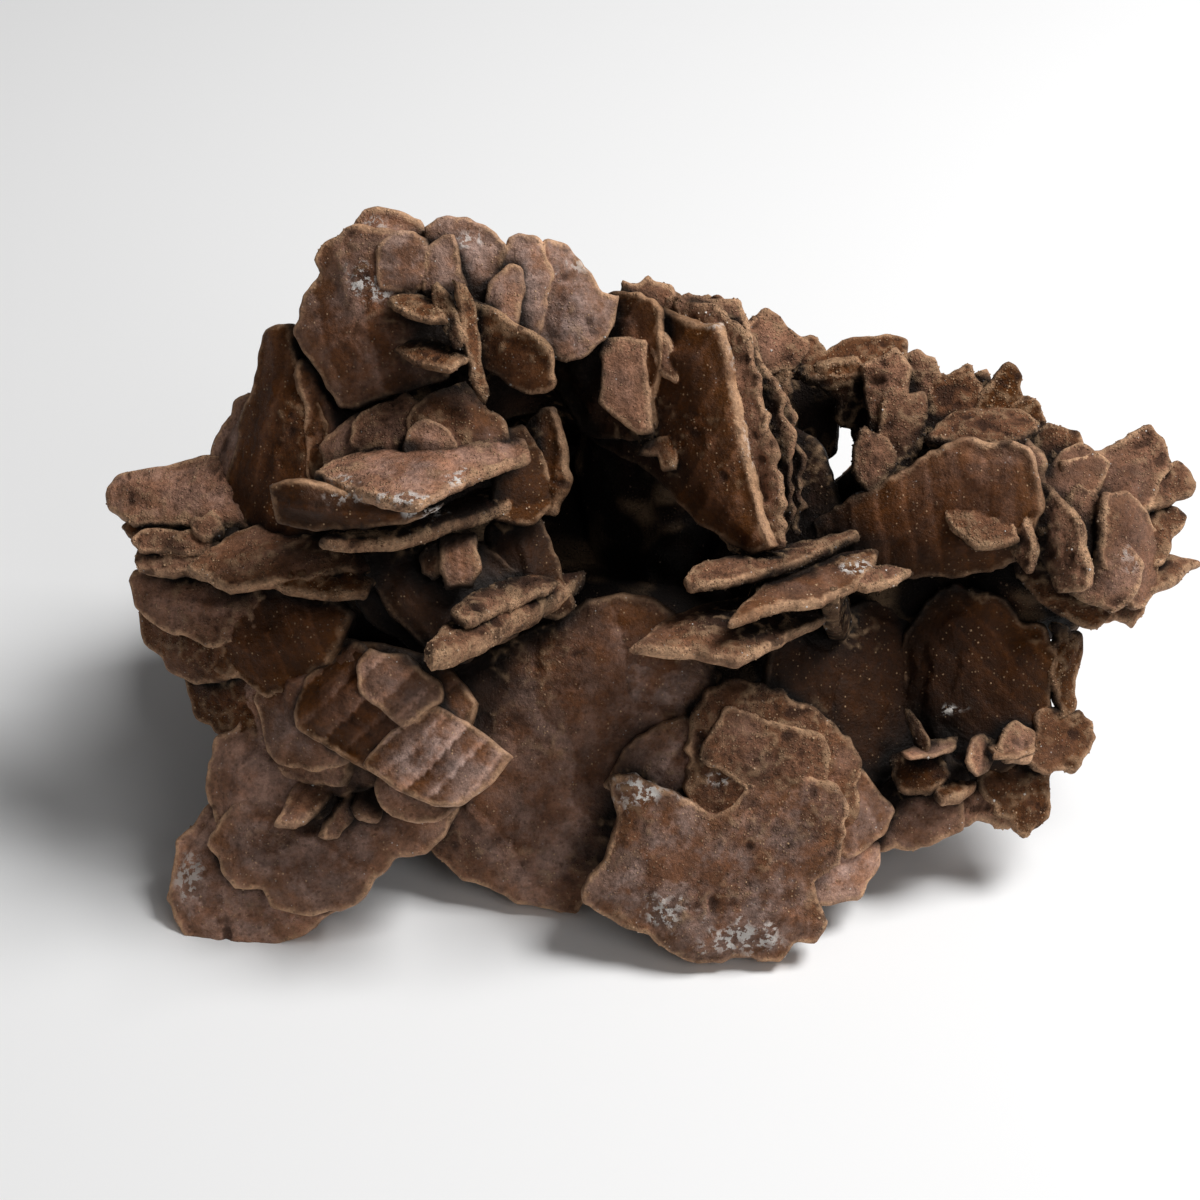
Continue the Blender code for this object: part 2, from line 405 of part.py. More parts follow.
# Broad plates that close the back: centre, direction it faces, direction of the long axis, length, width
BACK_PLATES = [
    ((-27, 26, 64), (0.0, 0.85, 0.5), (0.2, 0, 1), 34, 30),
    ((-9, 30, 56), (0.35, 0.85, 0.4), (-0.3, 0, 1), 30, 26),
    ((10, 34, 50), (0.1, 0.9, 0.45), (0.5, 0, 1), 32, 26),
    ((33, 34, 25), (0.2, 0.95, 0.3), (1, 0, 0.2), 32, 20),
    ((55, 26, 32), (0.5, 0.8, 0.35), (1, 0, 0.3), 28, 20),
    ((-44, 20, 30), (-0.6, 0.75, 0.2), (0.2, 0, 1), 28, 26),
    ((-4, 44, 28), (0.0, 0.95, 0.35), (1, 0, 0.3), 38, 30),
    ((-31, 38, 30), (-0.3, 0.9, 0.3), (0.6, 0, 1), 36, 28),
    ((20, 40, 16), (0.3, 0.9, 0.15), (1, 0, -0.2), 34, 24),
    ((-42, 28, 14), (-0.5, 0.85, 0.1), (1, 0, 0.2), 32, 22),
    ((50, 20, 14), (0.4, 0.85, 0.1), (1, 0, -0.1), 28, 20),
]

# Rows of blades that stand out of the back: centre x, y and height, reach in x and y, first and last
# bearing in degrees, number of blades, length, width, and how far they rise outwards in degrees
BACK_ROWS = [
    (2, 12, 8, 44, 33, 12, 172, 7, 34, 24, 5),
    (2, 14, 20, 50, 36, 14, 166, 5, 30, 24, 15),
    (-2, 16, 34, 42, 34, 18, 165, 5, 30, 24, 28),
    (-8, 18, 47, 34, 24, 25, 140, 4, 28, 22, 40),
    (-22, 18, 60, 20, 15, 50, 120, 2, 24, 18, 55),
]
BACK_THICK = 4.0
BACK_SEED = 11
PLATE_THICK = 5.0
PLATE_CORNERS = 9
RIB_THICK = 4.0
RIB_SEED = 5
# A rib is longer than the line it follows by this factor, so that both its ends are buried
RIB_REACH = 1.1
# The lumps of the heart are coarse spheres, swollen so that their flat faces reach the given radii
LUMP_SWELL = 1.06

# What varies from blade to blade: how far a corner strays along the rim as a share of its spacing,
# its least and greatest reach, and the least and greatest size of a blade
CORNER_STRAY = 0.3
REACH = (0.88, 1.12)
SIZE = (0.85, 1.15)
# Within a row: the stray along it as a share of the spacing, and the range of rise and of twist in degrees
ROW_STRAY = 0.4
RISE_RANGE = 20
TWIST = (20, 160)

# What lies below the floor and is cut away: its width and its height, in mm
GROUND_WIDTH = 300
GROUND_HEIGHT = 60
# The plain colour and finish of the whole stone
STONE_BROWN = (0.16, 0.078, 0.042, 1.0)
STONE_ROUGHNESS = 0.55


def facing_of(turn, tip):
    """The direction a blade faces: turned right and tipped up from the direction to the eye."""
    turn = math.radians(turn)
    tip = math.radians(tip)
    across = math.sin(turn) * math.cos(tip)
    towards = math.cos(turn) * math.cos(tip)
    return (RIGHT * across + UP * math.sin(tip) - FORWARD * towards).normalized()


def sight_point(u, v, depth):
    """The point seen at (u, v) on the sight plane and lying this far behind it."""
    on_plane = VIEW_TARGET + RIGHT * u + UP * v
    return EYE + (on_plane - EYE) * (1 + depth / VIEW_DISTANCE)


def thinned(outline):
    """The outline without the points that stand hardly off the line between their neighbours."""
    kept = list(outline)
    k = 0
    while k < len(kept) and len(kept) > 5:
        u0, v0 = kept[k - 1]
        u1, v1 = kept[k]
        u2, v2 = kept[(k + 1) % len(kept)]
        chord = math.hypot(u2 - u0, v2 - v0)
        stand = abs((u2 - u0) * (v1 - v0) - (v2 - v0) * (u1 - u0)) / chord
        if stand < LEAST_STAND:
            kept.pop(k)
        else:
            k += 1
    return kept


def set_back(outline, depth, facing):
    """The outline carried along the sight rays to the blade's own plane."""
    count = len(outline)
    mean_u = sum(u for u, v in outline) / count
    mean_v = sum(v for u, v in outline) / count
    anchor = sight_point(mean_u, mean_v, depth)
    points = []
    for u, v in outline:
        ray = VIEW_TARGET + RIGHT * u + UP * v - EYE
        stretch = (anchor - EYE).dot(facing) / ray.dot(facing)
        points.append(EYE + ray * stretch)
    return points


def lens(points, facing, thick):
    """A closed lens on a planar outline: a sharp rim, and a smaller flat face on each side."""
    count = len(points)
    centre = sum(points, Vector()) / count
    inner = [centre + (p - centre) * FACE_SHARE for p in points]
    verts = list(points)
    verts += [p + facing * (thick / 2) for p in inner]
    verts += [p - facing * (thick / 2) for p in inner]
    faces = []
    for i in range(count):
        j = (i + 1) % count
        faces.append((i, j, count + j, count + i))
        faces.append((j, i, 2 * count + i, 2 * count + j))
    faces.append(tuple(range(count, 2 * count)))
    faces.append(tuple(reversed(range(2 * count, 3 * count))))
    return closed_mesh(verts, faces)


def closed_mesh(verts, faces):
    """A mesh in metres whose faces all point outwards."""
    mesh = bpy.data.meshes.new("blade")
    mesh.from_pydata([v * MM for v in verts], [], faces)
    bm = bmesh.new()
    bm.from_mesh(mesh)
    bmesh.ops.recalc_face_normals(bm, faces=bm.faces)
    bm.to_mesh(mesh)
    bm.free()
    return mesh


def chosen(dice, least_and_most):
    """An even random number between the two ends."""
    least, most = least_and_most
    return least + (most - least) * dice.random()


def free_blade(centre, facing, along, length, width, thick, dice, corners=6):
    """A blade at any place: an uneven rounded outline about its long axis."""
    along = (along - facing * along.dot(facing)).normalized()
    side = facing.cross(along)
    points = []
    for k in range(corners):
        angle = 2 * math.pi * (k + CORNER_STRAY * dice.random()) / corners
        reach = chosen(dice, REACH)
        offset = along * (math.cos(angle) * length / 2) + side * (math.sin(angle) * width / 2)
        points.append(centre + offset * reach)
    return lens(points, facing, thick)


def traced_blades():
    """All blades seen from the front."""
    meshes = []
    for name, depth, turn, tip, thick, outline in TRACED:
        facing = facing_of(turn, tip)
        meshes.append(lens(set_back(thinned(outline), depth, facing), facing, thick))
    return meshes


def ribs():
    """Blades that stand edge-on to the view and root the front ones."""
    dice = random.Random(RIB_SEED)
    meshes = []
    for start, end, width in RIBS:
        a = sight_point(*start)
        b = sight_point(*end)
        along = b - a
        facing = along.cross(UP).normalized()
        length = along.length * RIB_REACH
        meshes.append(free_blade((a + b) / 2, facing, along, length, width, RIB_THICK, dice))
    return meshes


def back_blades():
    """Rows of blades that stand out from the back and the sides."""
    dice = random.Random(BACK_SEED)
    meshes = []
    for x, y, height, reach_x, reach_y, first, last, count, length, width, rise in BACK_ROWS:
        for k in range(count):
            share = (k + ROW_STRAY * dice.random()) / (count - 1 + ROW_STRAY)
            bearing = math.radians(first + (last - first) * share)
            outward = Vector((math.cos(bearing), math.sin(bearing), 0.0))
            centre = Vector((x + outward.x * reach_x, y + outward.y * reach_y, height))
            lift = math.radians(rise + RISE_RANGE * (dice.random() - 0.5))
            along = outward * math.cos(lift) + Vector((0.0, 0.0, math.sin(lift)))
            level = outward.cross(Vector((0.0, 0.0, 1.0))).normalized()
            facing = mathutils.Quaternion(along, math.radians(chosen(dice, TWIST))) @ level
            size = chosen(dice, SIZE)
            meshes.append(free_blade(centre, facing, along, length * size, width * size, BACK_THICK, dice))
    for centre, facing, along, length, width in BACK_PLATES:
        facing = Vector(facing).normalized()
        meshes.append(free_blade(Vector(centre), facing, Vector(along), length, width, PLATE_THICK, dice,
                                 PLATE_CORNERS))
    return meshes


def heart():
    """Low lumps of sandy gypsum that the blades have in common."""
    meshes = []
    for centre, radii in HEART:
        bm = bmesh.new()
        bmesh.ops.create_icosphere(bm, subdivisions=1, radius=LUMP_SWELL)
        verts = [Vector((v.co.x * radii[0], v.co.y * radii[1], v.co.z * radii[2])) + Vector(centre)
                 for v in bm.verts]
        faces = [tuple(v.index for v in f.verts) for f in bm.faces]
        bm.free()
        meshes.append(closed_mesh(verts, faces))
    return meshes


def ground_block():
    """What lies below the floor and is cut away, so the rose stands on worn flat tips."""
    bm = bmesh.new()
    bmesh.ops.create_cube(bm, size=1.0)
    span = Vector((GROUND_WIDTH, GROUND_WIDTH, GROUND_HEIGHT))
    middle = Vector((0.0, 0.0, -GROUND_HEIGHT / 2))
    verts = [v.co * span + middle for v in bm.verts]
    faces = [tuple(v.index for v in f.verts) for f in bm.faces]
    bm.free()
    return closed_mesh(verts, faces)


def join(rose, meshes, operation):
    """Unites the meshes with the rose, or cuts them from it."""
    partners = bpy.data.collections.new("partners")
    bpy.context.scene.collection.children.link(partners)
    for mesh in meshes:
        partners.objects.link(bpy.data.objects.new("partner", mesh))
    modifier = rose.modifiers.new("join", "BOOLEAN")
    modifier.operation = operation
    modifier.solver = "EXACT"
    modifier.operand_type = "COLLECTION"
    modifier.collection = partners
    bpy.context.view_layer.update()
    seen = rose.evaluated_get(bpy.context.evaluated_depsgraph_get())
    result = bpy.data.meshes.new_from_object(seen)
    rose.modifiers.remove(modifier)
    rose.data = result
    for partner in list(partners.objects):
        bpy.data.objects.remove(partner)
    bpy.data.collections.remove(partners)


def body_of(face, unseen):
    """The faces joined to this one, taken out of the unseen ones."""
    unseen.discard(face)
    body = [face]
    stack = [face]
    while stack:
        for edge in stack.pop().edges:
            for neighbour in edge.link_faces:
                if neighbour in unseen:
                    unseen.discard(neighbour)
                    body.append(neighbour)
                    stack.append(neighbour)
    return body


def volume_of(body):
    """Signed volume of a closed set of triangles: negative round a sealed pocket."""
    total = 0.0
    for face in body:
        a, b, c = (v.co for v in face.verts)
        total += a.dot(b.cross(c)) / 6
    return total


def clean(rose):
    """Leaves whole flat faces as few triangles, and fills pockets sealed inside the rose."""
    bm = bmesh.new()
    bm.from_mesh(rose.data)
    bmesh.ops.remove_doubles(bm, verts=bm.verts, dist=MERGE_MM * MM)
    bmesh.ops.dissolve_limit(bm, angle_limit=FLAT_ANGLE, verts=bm.verts, edges=bm.edges)
    bmesh.ops.dissolve_degenerate(bm, edges=bm.edges, dist=MERGE_MM * MM)
    bmesh.ops.triangulate(bm, faces=bm.faces)
    unseen = set(bm.faces)
    while unseen:
        body = body_of(next(iter(unseen)), unseen)
        volume = volume_of(body)
        if volume < 0:
            bmesh.ops.delete(bm, geom=body, context="FACES")
            continue
        middle = sum((f.calc_center_median() for f in body), Vector()) / len(body)
        print("body of", len(body), "triangles,", round(volume / MM ** 3, 1), "mm3, about",
              [round(c / MM, 1) for c in middle])
    loose = [v for v in bm.verts if not v.link_faces]
    bmesh.ops.delete(bm, geom=loose, context="VERTS")
    bm.to_mesh(rose.data)
    bm.free()


def sandstone_brown():
    """Satin brown gypsum, coloured by the sand inside it."""
    material = bpy.data.materials.new("sandy_gypsum")
    material.use_nodes = True
    shader = material.node_tree.nodes["Principled BSDF"]
    shader.inputs["Base Color"].default_value = STONE_BROWN
    shader.inputs["Roughness"].default_value = STONE_ROUGHNESS
    shader.inputs["Metallic"].default_value = 0.0
    return material


def main():
    """Builds the rose: one solid, centred over its footprint and standing on the floor."""
    for old in list(bpy.data.objects):
        bpy.data.objects.remove(old)
    lumps = heart()
    rose = bpy.data.objects.new(ROSE, lumps[0])
    bpy.context.scene.collection.objects.link(rose)
    join(rose, lumps[1:] + ribs() + back_blades() + traced_blades(), "UNION")
    join(rose, [ground_block()], "DIFFERENCE")
    clean(rose)
    low = Vector([min(v.co[i] for v in rose.data.vertices) for i in range(3)])
    high = Vector([max(v.co[i] for v in rose.data.vertices) for i in range(3)])
    shift = Vector((-(low.x + high.x) / 2, -(low.y + high.y) / 2, -low.z))
    rose.data.transform(mathutils.Matrix.Translation(shift))
    rose.data.materials.append(sandstone_brown())
    rose.data.name = ROSE
    print("size in mm", [round(c / MM, 2) for c in high - low])
    print("shift in mm", [round(c / MM, 3) for c in shift])


main()
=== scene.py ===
# %% [markdown]
# # A gypsum sand rose
# A sand rose grows in wet desert sand. Gypsum crystals spread as flat, lens-shaped blades, take sand
# grains in, and grow through each other until they are one stone. This notebook builds the skin of
# such a stone in Blender: about a hundred and seventy blades, each with its own outline, section,
# growth steps and sandy grain. The plain solid that the blades stand on is loaded first, and it fixes
# the size of everything.

# %% Load the plain solid
import json
import math
import random

import bmesh
import bpy
import numpy as np
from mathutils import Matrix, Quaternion, Vector
from mathutils.bvhtree import BVHTree
from mathutils.geometry import delaunay_2d_cdt

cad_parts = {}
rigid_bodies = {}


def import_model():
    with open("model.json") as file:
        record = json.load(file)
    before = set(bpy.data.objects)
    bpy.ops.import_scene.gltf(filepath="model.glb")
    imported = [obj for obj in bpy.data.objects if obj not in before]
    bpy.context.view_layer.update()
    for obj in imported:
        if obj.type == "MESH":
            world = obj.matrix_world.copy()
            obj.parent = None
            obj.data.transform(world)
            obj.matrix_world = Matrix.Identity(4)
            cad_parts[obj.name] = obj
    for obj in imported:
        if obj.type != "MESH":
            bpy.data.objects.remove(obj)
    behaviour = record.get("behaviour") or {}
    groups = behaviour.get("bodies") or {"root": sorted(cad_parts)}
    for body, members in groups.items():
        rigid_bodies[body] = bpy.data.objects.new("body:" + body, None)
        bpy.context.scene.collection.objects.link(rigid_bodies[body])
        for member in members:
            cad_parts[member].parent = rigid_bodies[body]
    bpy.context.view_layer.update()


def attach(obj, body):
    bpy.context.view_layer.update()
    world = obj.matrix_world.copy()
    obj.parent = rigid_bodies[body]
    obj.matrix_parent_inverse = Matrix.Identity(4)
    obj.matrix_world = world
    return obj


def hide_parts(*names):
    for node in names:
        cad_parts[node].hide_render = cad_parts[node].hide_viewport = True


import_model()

MM = 0.001
ROSE = "sand_rose"

# %% [markdown]
# ## The view
# The blades are described as they are seen from one fixed place, 40 degrees above the table and to
# the front. The sight plane is square to that view and goes through the middle of the stone. A point
# on it is two numbers in millimetres, u to the right and v upwards. The camera stands at the same
# place, so what is drawn on the sight plane is what the picture shows.

# %% The sight plane
PITCH = math.radians(40)
VIEW_DISTANCE = 365.0
VIEW_TARGET = Vector((0.0, 0.0, 40.0))
RIGHT = Vector((1.0, 0.0, 0.0))
UP = Vector((0.0, math.sin(PITCH), math.cos(PITCH)))
FORWARD = Vector((0.0, math.cos(PITCH), -math.sin(PITCH)))
EYE = VIEW_TARGET - FORWARD * VIEW_DISTANCE
# From the drawing's origin to the middle of the solid's footprint
SHIFT = Vector((-8.011, -18.046, 0.0))


def sight_point(u, v, depth):
    """The point seen at (u, v) on the sight plane and lying this far behind it."""
    on_plane = VIEW_TARGET + RIGHT * u + UP * v
    return EYE + (on_plane - EYE) * (1 + depth / VIEW_DISTANCE)


def facing_of(turn, tip):
    """The direction a blade faces: turned right and tipped up from the direction to the eye."""
    turn = math.radians(turn)
    tip = math.radians(tip)
    across = math.sin(turn) * math.cos(tip)
    towards = math.cos(turn) * math.cos(tip)
    return (RIGHT * across + UP * math.sin(tip) - FORWARD * towards).normalized()


print("the eye stands at", [round(c) for c in EYE + SHIFT], "mm")

# %% The camera
camera = bpy.data.objects.new("camera", bpy.data.cameras.new("camera"))
camera.location = (EYE + SHIFT) * MM
camera.rotation_euler = (math.radians(90) - PITCH, 0.0, 0.0)
camera.data.lens = 81
camera.data.sensor_width = 36
bpy.context.scene.collection.objects.link(camera)
bpy.context.scene.camera = camera
print("camera lens", camera.data.lens, "mm")

# %% [markdown]
# ## The blades
# Each blade is one row: a name, how far its middle lies behind the sight plane, how far it is turned
# to the right and tipped upwards, its thickness, and its outline as corners (u, v). The outline is
# later set back along the sight rays onto the blade's own plane. The rows are grouped by where the
# blades stand, because neighbours share their finish: broad plates are smooth and small leaves sandy.

# %% [markdown]
# ### The crown
# The crown is a broad plate that faces the eye, with lobes along its rim and small leaves
# that stand in the hollow beside it.

# %% The crown
CROWN = [
    ("crown plate", -9, -10, -6, 4.5,
     [(-33, 50.9), (-37.2, 48.7), (-39, 46), (-38, 44.3), (-40, 41), (-41.4, 36), (-40, 33.2),
      (-37.1, 28.7), (-34.9, 25.9), (-33, 25.8), (-28.2, 27.2), (-24.9, 28), (-20.5, 30), (-19, 35),
      (-20, 42), (-24, 47), (-28, 50)]),
    ("crown tip", -8, -10, -6, 3.6,
     [(-34.2, 49.5), (-32.7, 51.6), (-31.9, 52.6), (-29.9, 53.1), (-27.1, 52.6), (-24.4, 51.4),
      (-22, 46), (-28, 42), (-34, 44)]),
    ("crown lobe left", -12.3, -10, -4, 2.4,
     [(-30.2, 47), (-29.6, 48.7), (-27.1, 50), (-24.9, 50.1), (-23, 49), (-22, 44), (-25, 40.5),
      (-30, 42)]),
    ("crown lobe right", -13.3, -8, -4, 2.4,
     [(-24.2, 46), (-23.2, 48.2), (-21.3, 49.7), (-19.6, 49.6), (-18.6, 47.5), (-18.2, 42),
      (-21, 39.5), (-24.4, 41.5)]),
    ("crown ridge", -10.6, -4, -4, 3.6,
     [(-24, 50.5), (-22.7, 51.3), (-22, 51.9), (-18.2, 51.7), (-15.4, 50.8), (-13.8, 49.6),
      (-12.6, 48.2), (-13.5, 43), (-16, 39), (-21, 40), (-24, 46)]),
    ("shoulder upper", -9.6, 0, -6, 3.6,
     [(-16.5, 44), (-14, 46.5), (-12.4, 48.9), (-11, 49.4), (-9.2, 49.2), (-7.8, 48.3), (-6, 44),
      (-8, 36), (-12, 33), (-16, 37)]),
    ("shoulder lower", -8.2, 9, -6, 4.0,
     [(-9.9, 45), (-8.6, 48), (-7.4, 48.9), (-5.2, 48.5), (-3.2, 46.6), (-1, 43.9), (0.4, 42),
      (2.8, 41.2), (1, 35), (-5, 32), (-9, 34), (-10.6, 41)]),
    ("pale plate", -12.6, -4, 0, 2.4,
     [(-15.7, 41.2), (-15.2, 43), (-14.2, 44.1), (-12.4, 45.2), (-10.7, 44.9), (-10.2, 42), (-10.6, 37),
      (-13, 35), (-15.5, 36)]),
    ("leaf high", -15.2, 0, 56, 1.7,
     [(-28.8, 40), (-27, 41), (-24, 41), (-21.5, 39.6), (-20.5, 37.6), (-23, 37.4), (-27, 38.4)]),
    ("leaf low", -14.8, 0, 54, 1.7,
     [(-28.1, 33.6), (-25.5, 35), (-23, 35.4), (-20.5, 34.3), (-18, 32.4), (-20, 30.8), (-25, 31.6)]),
    ("leaf upright", -15.8, -24, 6, 1.8,
     [(-23, 42.6), (-21.9, 43.4), (-20.6, 42.1), (-19, 39.3), (-18.4, 36), (-18.8, 33.8), (-19.8, 33.8),
      (-21.3, 37), (-22.8, 40.4)]),
    ("leaf long", -15.4, 42, 0, 1.8,
     [(-20.2, 43.6), (-18.2, 42.4), (-17.2, 39.6), (-16.4, 36), (-15.6, 31), (-15, 28), (-15.6, 26),
      (-17, 28.5), (-18.4, 34), (-19, 39)]),
    ("leaf slanted", -12.8, -12, -24, 2.2,
     [(-17.4, 40.7), (-15.4, 40.1), (-12.2, 38.2), (-8.8, 36.2), (-6.3, 34.3), (-6.3, 28.7), (-9, 27.5),
      (-12.1, 28.6), (-16, 32)]),
]
print(len(CROWN), "blades: the crown")

# %% [markdown]
# ### Under the crown
# A short row of blunt blades shows below the crown.

# %% Under the crown
UNDER_CROWN = [
    ("row left", -8, -15, 10, 3.5,
     [(-38, 20), (-37, 22.3), (-35, 24), (-32, 25.6), (-29, 23), (-29, 18), (-36, 17)]),
    ("row middle", -10, -8, 12, 4.0,
     [(-33.8, 21.5), (-33.2, 24), (-32.3, 25.1), (-30, 26.3), (-26, 27.9), (-23.5, 26.5), (-23.5, 19),
      (-31, 18)]),
    ("row right", -10.5, 8, 12, 4.0,
     [(-26.3, 24.5), (-24, 27.5), (-20.8, 28.6), (-18.3, 29.3), (-15, 25.7), (-12.5, 24), (-11.5, 18),
      (-19, 16), (-26, 18)]),
    ("half disc", -13.5, 0, 5, 2.5,
     [(-26.8, 21), (-26.3, 23), (-25, 23.9), (-23, 24.1), (-21, 23.4), (-19, 21.5), (-19, 17),
      (-26, 17)]),
]
print(len(UNDER_CROWN), "blades: under the crown")

# %% [markdown]
# ### Upper left
# Tall narrow blades stand at the left of the crown. Their rims are thin and let light through.

# %% Upper left
UPPER_LEFT = [
    ("tall blade", -2, -28, -2, 5.0,
     [(-44.6, 36.5), (-43.3, 37.5), (-41.4, 37.2), (-40, 33), (-36, 24), (-35, 14), (-40, 6),
      (-48, 7), (-50.5, 13), (-49, 20), (-47.3, 27)]),
    ("tall blade inner", -5, 14, 0, 4.0,
     [(-41.9, 30.5), (-40.3, 32.7), (-37, 31), (-32, 26), (-31, 16), (-38, 13), (-40.2, 17),
      (-40, 25)]),
    ("outer strip", 3, -30, 0, 4.0,
     [(-52.5, 18), (-52.2, 21), (-50.8, 23.6), (-49.2, 24.8), (-48.9, 26.8), (-47.2, 28.4),
      (-43, 24), (-43, 10), (-50, 8), (-52.7, 12)]),
]
print(len(UPPER_LEFT), "blades: upper left")

# %% [markdown]
# ### Left stack
# At the far left thin blades lie stacked like slates.

# %% Left stack
LEFT_STACK = [
    ("stack top", 4, -10, 22, 4.5,
     [(-67, 13.9), (-66, 15.9), (-64.8, 16.8), (-61, 17.7), (-55, 19.1), (-49, 19.5), (-43, 15),
      (-45, 9), (-56, 9.3), (-64, 10.3), (-66.3, 12)]),
    ("stack second", 2.5, -8, 30, 3.0,
     [(-65, 9.8), (-63.7, 8), (-61, 6.6), (-52, 5.6), (-44, 7), (-46, 13), (-61, 12.4)]),
    ("stack slate high", 2.0, -8, 24, 1.8,
     [(-64.8, 11.4), (-63, 12.6), (-58, 13.1), (-52, 12.4), (-49, 9.8), (-55, 9.2), (-60, 9.9),
      (-63, 9.7)]),
    ("stack slate low", -0.6, -8, 24, 1.8,
     [(-63.8, 8), (-62, 9.2), (-57, 9.7), (-52, 9), (-49.5, 6.6), (-54, 5.8), (-58, 6.5),
      (-62, 6.4)]),
    ("stack third", 0.5, -8, 26, 3.5,
     [(-63.3, 5), (-62.6, 7), (-59, 8.3), (-56, 9.4), (-49, 9.5), (-43, 6), (-46, 2), (-56, 3),
      (-62.5, 3.5)]),
    ("stack lump", -0.6, -16, 30, 2.4,
     [(-55.7, 10), (-54.6, 11.4), (-53.6, 11), (-52.4, 12.2), (-50.9, 11.4), (-50.2, 9.6),
      (-51.4, 8.2), (-54, 7.9)]),
    ("stack plate", 2, -18, 4, 4.5,
     [(-63.5, 2.5), (-62.5, 4.2), (-56, 4.6), (-50, 4), (-43, 1), (-45, -5), (-53, -6.4),
      (-57.5, -5.2), (-60, -3.7), (-62.2, -1.8)]),
    ("lower strip", 5, -30, 0, 3.5,
     [(-62.2, -1.2), (-61.4, -6), (-59, -8.2), (-57, -10), (-54.5, -11.6), (-50, -11), (-45, -6),
      (-50, 2), (-58, 1)]),
    ("lower strip foot", 5, -26, 0, 3.5,
     [(-55.7, -10), (-55, -13), (-54.3, -16.2), (-51.8, -18), (-49, -18.7), (-43, -18), (-40, -10),
      (-49, -5)]),
    ("tongue", -5, -8, 42, 3.0,
     [(-56.2, 4.1), (-53, 6.6), (-50.5, 8.1), (-48, 9.4), (-45, 10.1), (-41, 9.8), (-33, 7.8),
      (-31, 4), (-42, 2), (-50, 1.3)]),
    ("tongue leaf", -8, -5, 36, 2.8,
     [(-48.8, 4.6), (-46, 5.3), (-39, 5.5), (-34, 4.5), (-30, 2.5), (-32, 0), (-38, 0), (-43, 1)]),
]
print(len(LEFT_STACK), "blades: left stack")

# %% [markdown]
# ### Left scallops
# Rounded plates overlap like scales below the stack.

# %% Left scallops
LEFT_SCALLOPS = [
    ("scallop top", 0, -22, 0, 5.0,
     [(-54.2, 1), (-55.2, -3.5), (-53.5, -7.2), (-51, -9.9), (-48, -10.9), (-44, -13), (-36, -9),
      (-33, -2), (-38, 4), (-48, 4)]),
    ("scallop middle", -1, -22, 0, 5.0,
     [(-46.4, -13.5), (-45.2, -9), (-43.5, -6.4), (-39, -4.5), (-32, -5), (-28, -12), (-31, -21),
      (-38, -23.2), (-43, -22.3), (-44.9, -20.5), (-45.5, -16.5)]),
    ("scallop behind", 2, -22, 0, 4.5,
     [(-49, -10), (-48.2, -14), (-47.5, -17), (-47.7, -18.6), (-46.3, -21.9), (-43, -23.3),
      (-40.5, -24.9), (-34, -25), (-31, -14), (-38, -5), (-46, -6)]),
    ("scallop foot", 0, -10, 0, 4.0,
     [(-41.2, -22), (-39, -25.7), (-37.5, -26.4), (-34, -26.3), (-30, -25), (-25, -19), (-33, -13),
      (-40, -15)]),
]
print(len(LEFT_SCALLOPS), "blades: left scallops")

# %% [markdown]
# ### Lower left
# Broad sheets carry the stone at the lower left, with a notch between them.

# %% Lower left
LOWER_LEFT = [
    ("foot small", 4, -12, -4, 4.5,
     [(-52.3, -18.5), (-50, -17.2), (-45, -15), (-37, -19), (-35, -28), (-41, -31.5), (-46, -31.3),
      (-50, -32.5), (-51.6, -31.2), (-52.9, -28), (-53, -24)]),
    ("foot back sheet", 7.5, -6, 0, 4.5,
     [(-52.7, -27), (-55, -30.2), (-57, -32.3), (-57.9, -35), (-58.3, -40.8), (-57.4, -43.6),
      (-55.5, -45.4), (-50, -47.3), (-44.3, -47.2), (-39.5, -45.1), (-33, -40), (-29, -30),
      (-41, -22)]),
    ("foot front sheet", 3.5, -3, 2, 4.5,
     [(-53.5, -33), (-51.6, -36), (-50.5, -38.1), (-49.3, -39.2), (-45.5, -38.9), (-44.4, -41.8),
      (-38, -42.8), (-33, -41.2), (-30, -38.2), (-27.5, -35.7), (-22, -33.2), (-19, -27),
      (-28, -19), (-42, -22), (-50, -27)]),
    ("notch leaf left", -1, 0, 40, 2.2,
     [(-44, -30.4), (-43, -28), (-41, -25), (-37, -24), (-36, -27), (-41, -31)]),
    ("notch leaf middle", -1, 40, 0, 2.2,
     [(-38.2, -32.2), (-37.5, -30), (-34.5, -26), (-32.5, -27), (-33.5, -30), (-35.5, -32.5)]),
    ("notch leaf right", -1, 20, 30, 2.2,
     [(-34.2, -28), (-32.5, -30.2), (-30, -30.2), (-29, -27), (-32, -25)]),
]
print(len(LOWER_LEFT), "blades: lower left")

# %% [markdown]
# ### Pentagon plates
# A group of flat five-sided plates steps down towards the middle.

# %% Pentagon plates
PENTAGON = [
    ("pentagon plate", -5, -8, 8, 5.0,
     [(-41.4, -15), (-39.6, -10.3), (-36, -7.8), (-33, -5.3), (-29, -5.8), (-21, -8), (-16, -14),
      (-19, -22), (-27, -25.3), (-31.8, -22.9), (-37, -20.1), (-41, -17.3)]),
    ("pentagon top sheet", -10.4, -8, 8, 2.2,
     [(-32, -22.3), (-31, -20.5), (-28, -17.4), (-22, -14), (-17.6, -16.8), (-14, -19.4), (-11.5, -21.2),
      (-13, -23), (-15.5, -25.8), (-18.9, -28), (-22.5, -28), (-27.9, -25.4)]),
    ("pentagon small plate", -8.3, -8, 8, 2.0,
     [(-31, -6.6), (-33, -9), (-32.4, -13), (-29.5, -15), (-26.5, -17.8), (-21.2, -14), (-21.6, -10.9),
      (-26, -7.7)]),
    ("pentagon lower tip", -5.4, -8, 8, 4.0,
     [(-30.4, -25), (-30.2, -27.2), (-28.3, -29.6), (-25, -30.5), (-22, -30), (-17, -26),
      (-18, -19), (-28, -18)]),
]
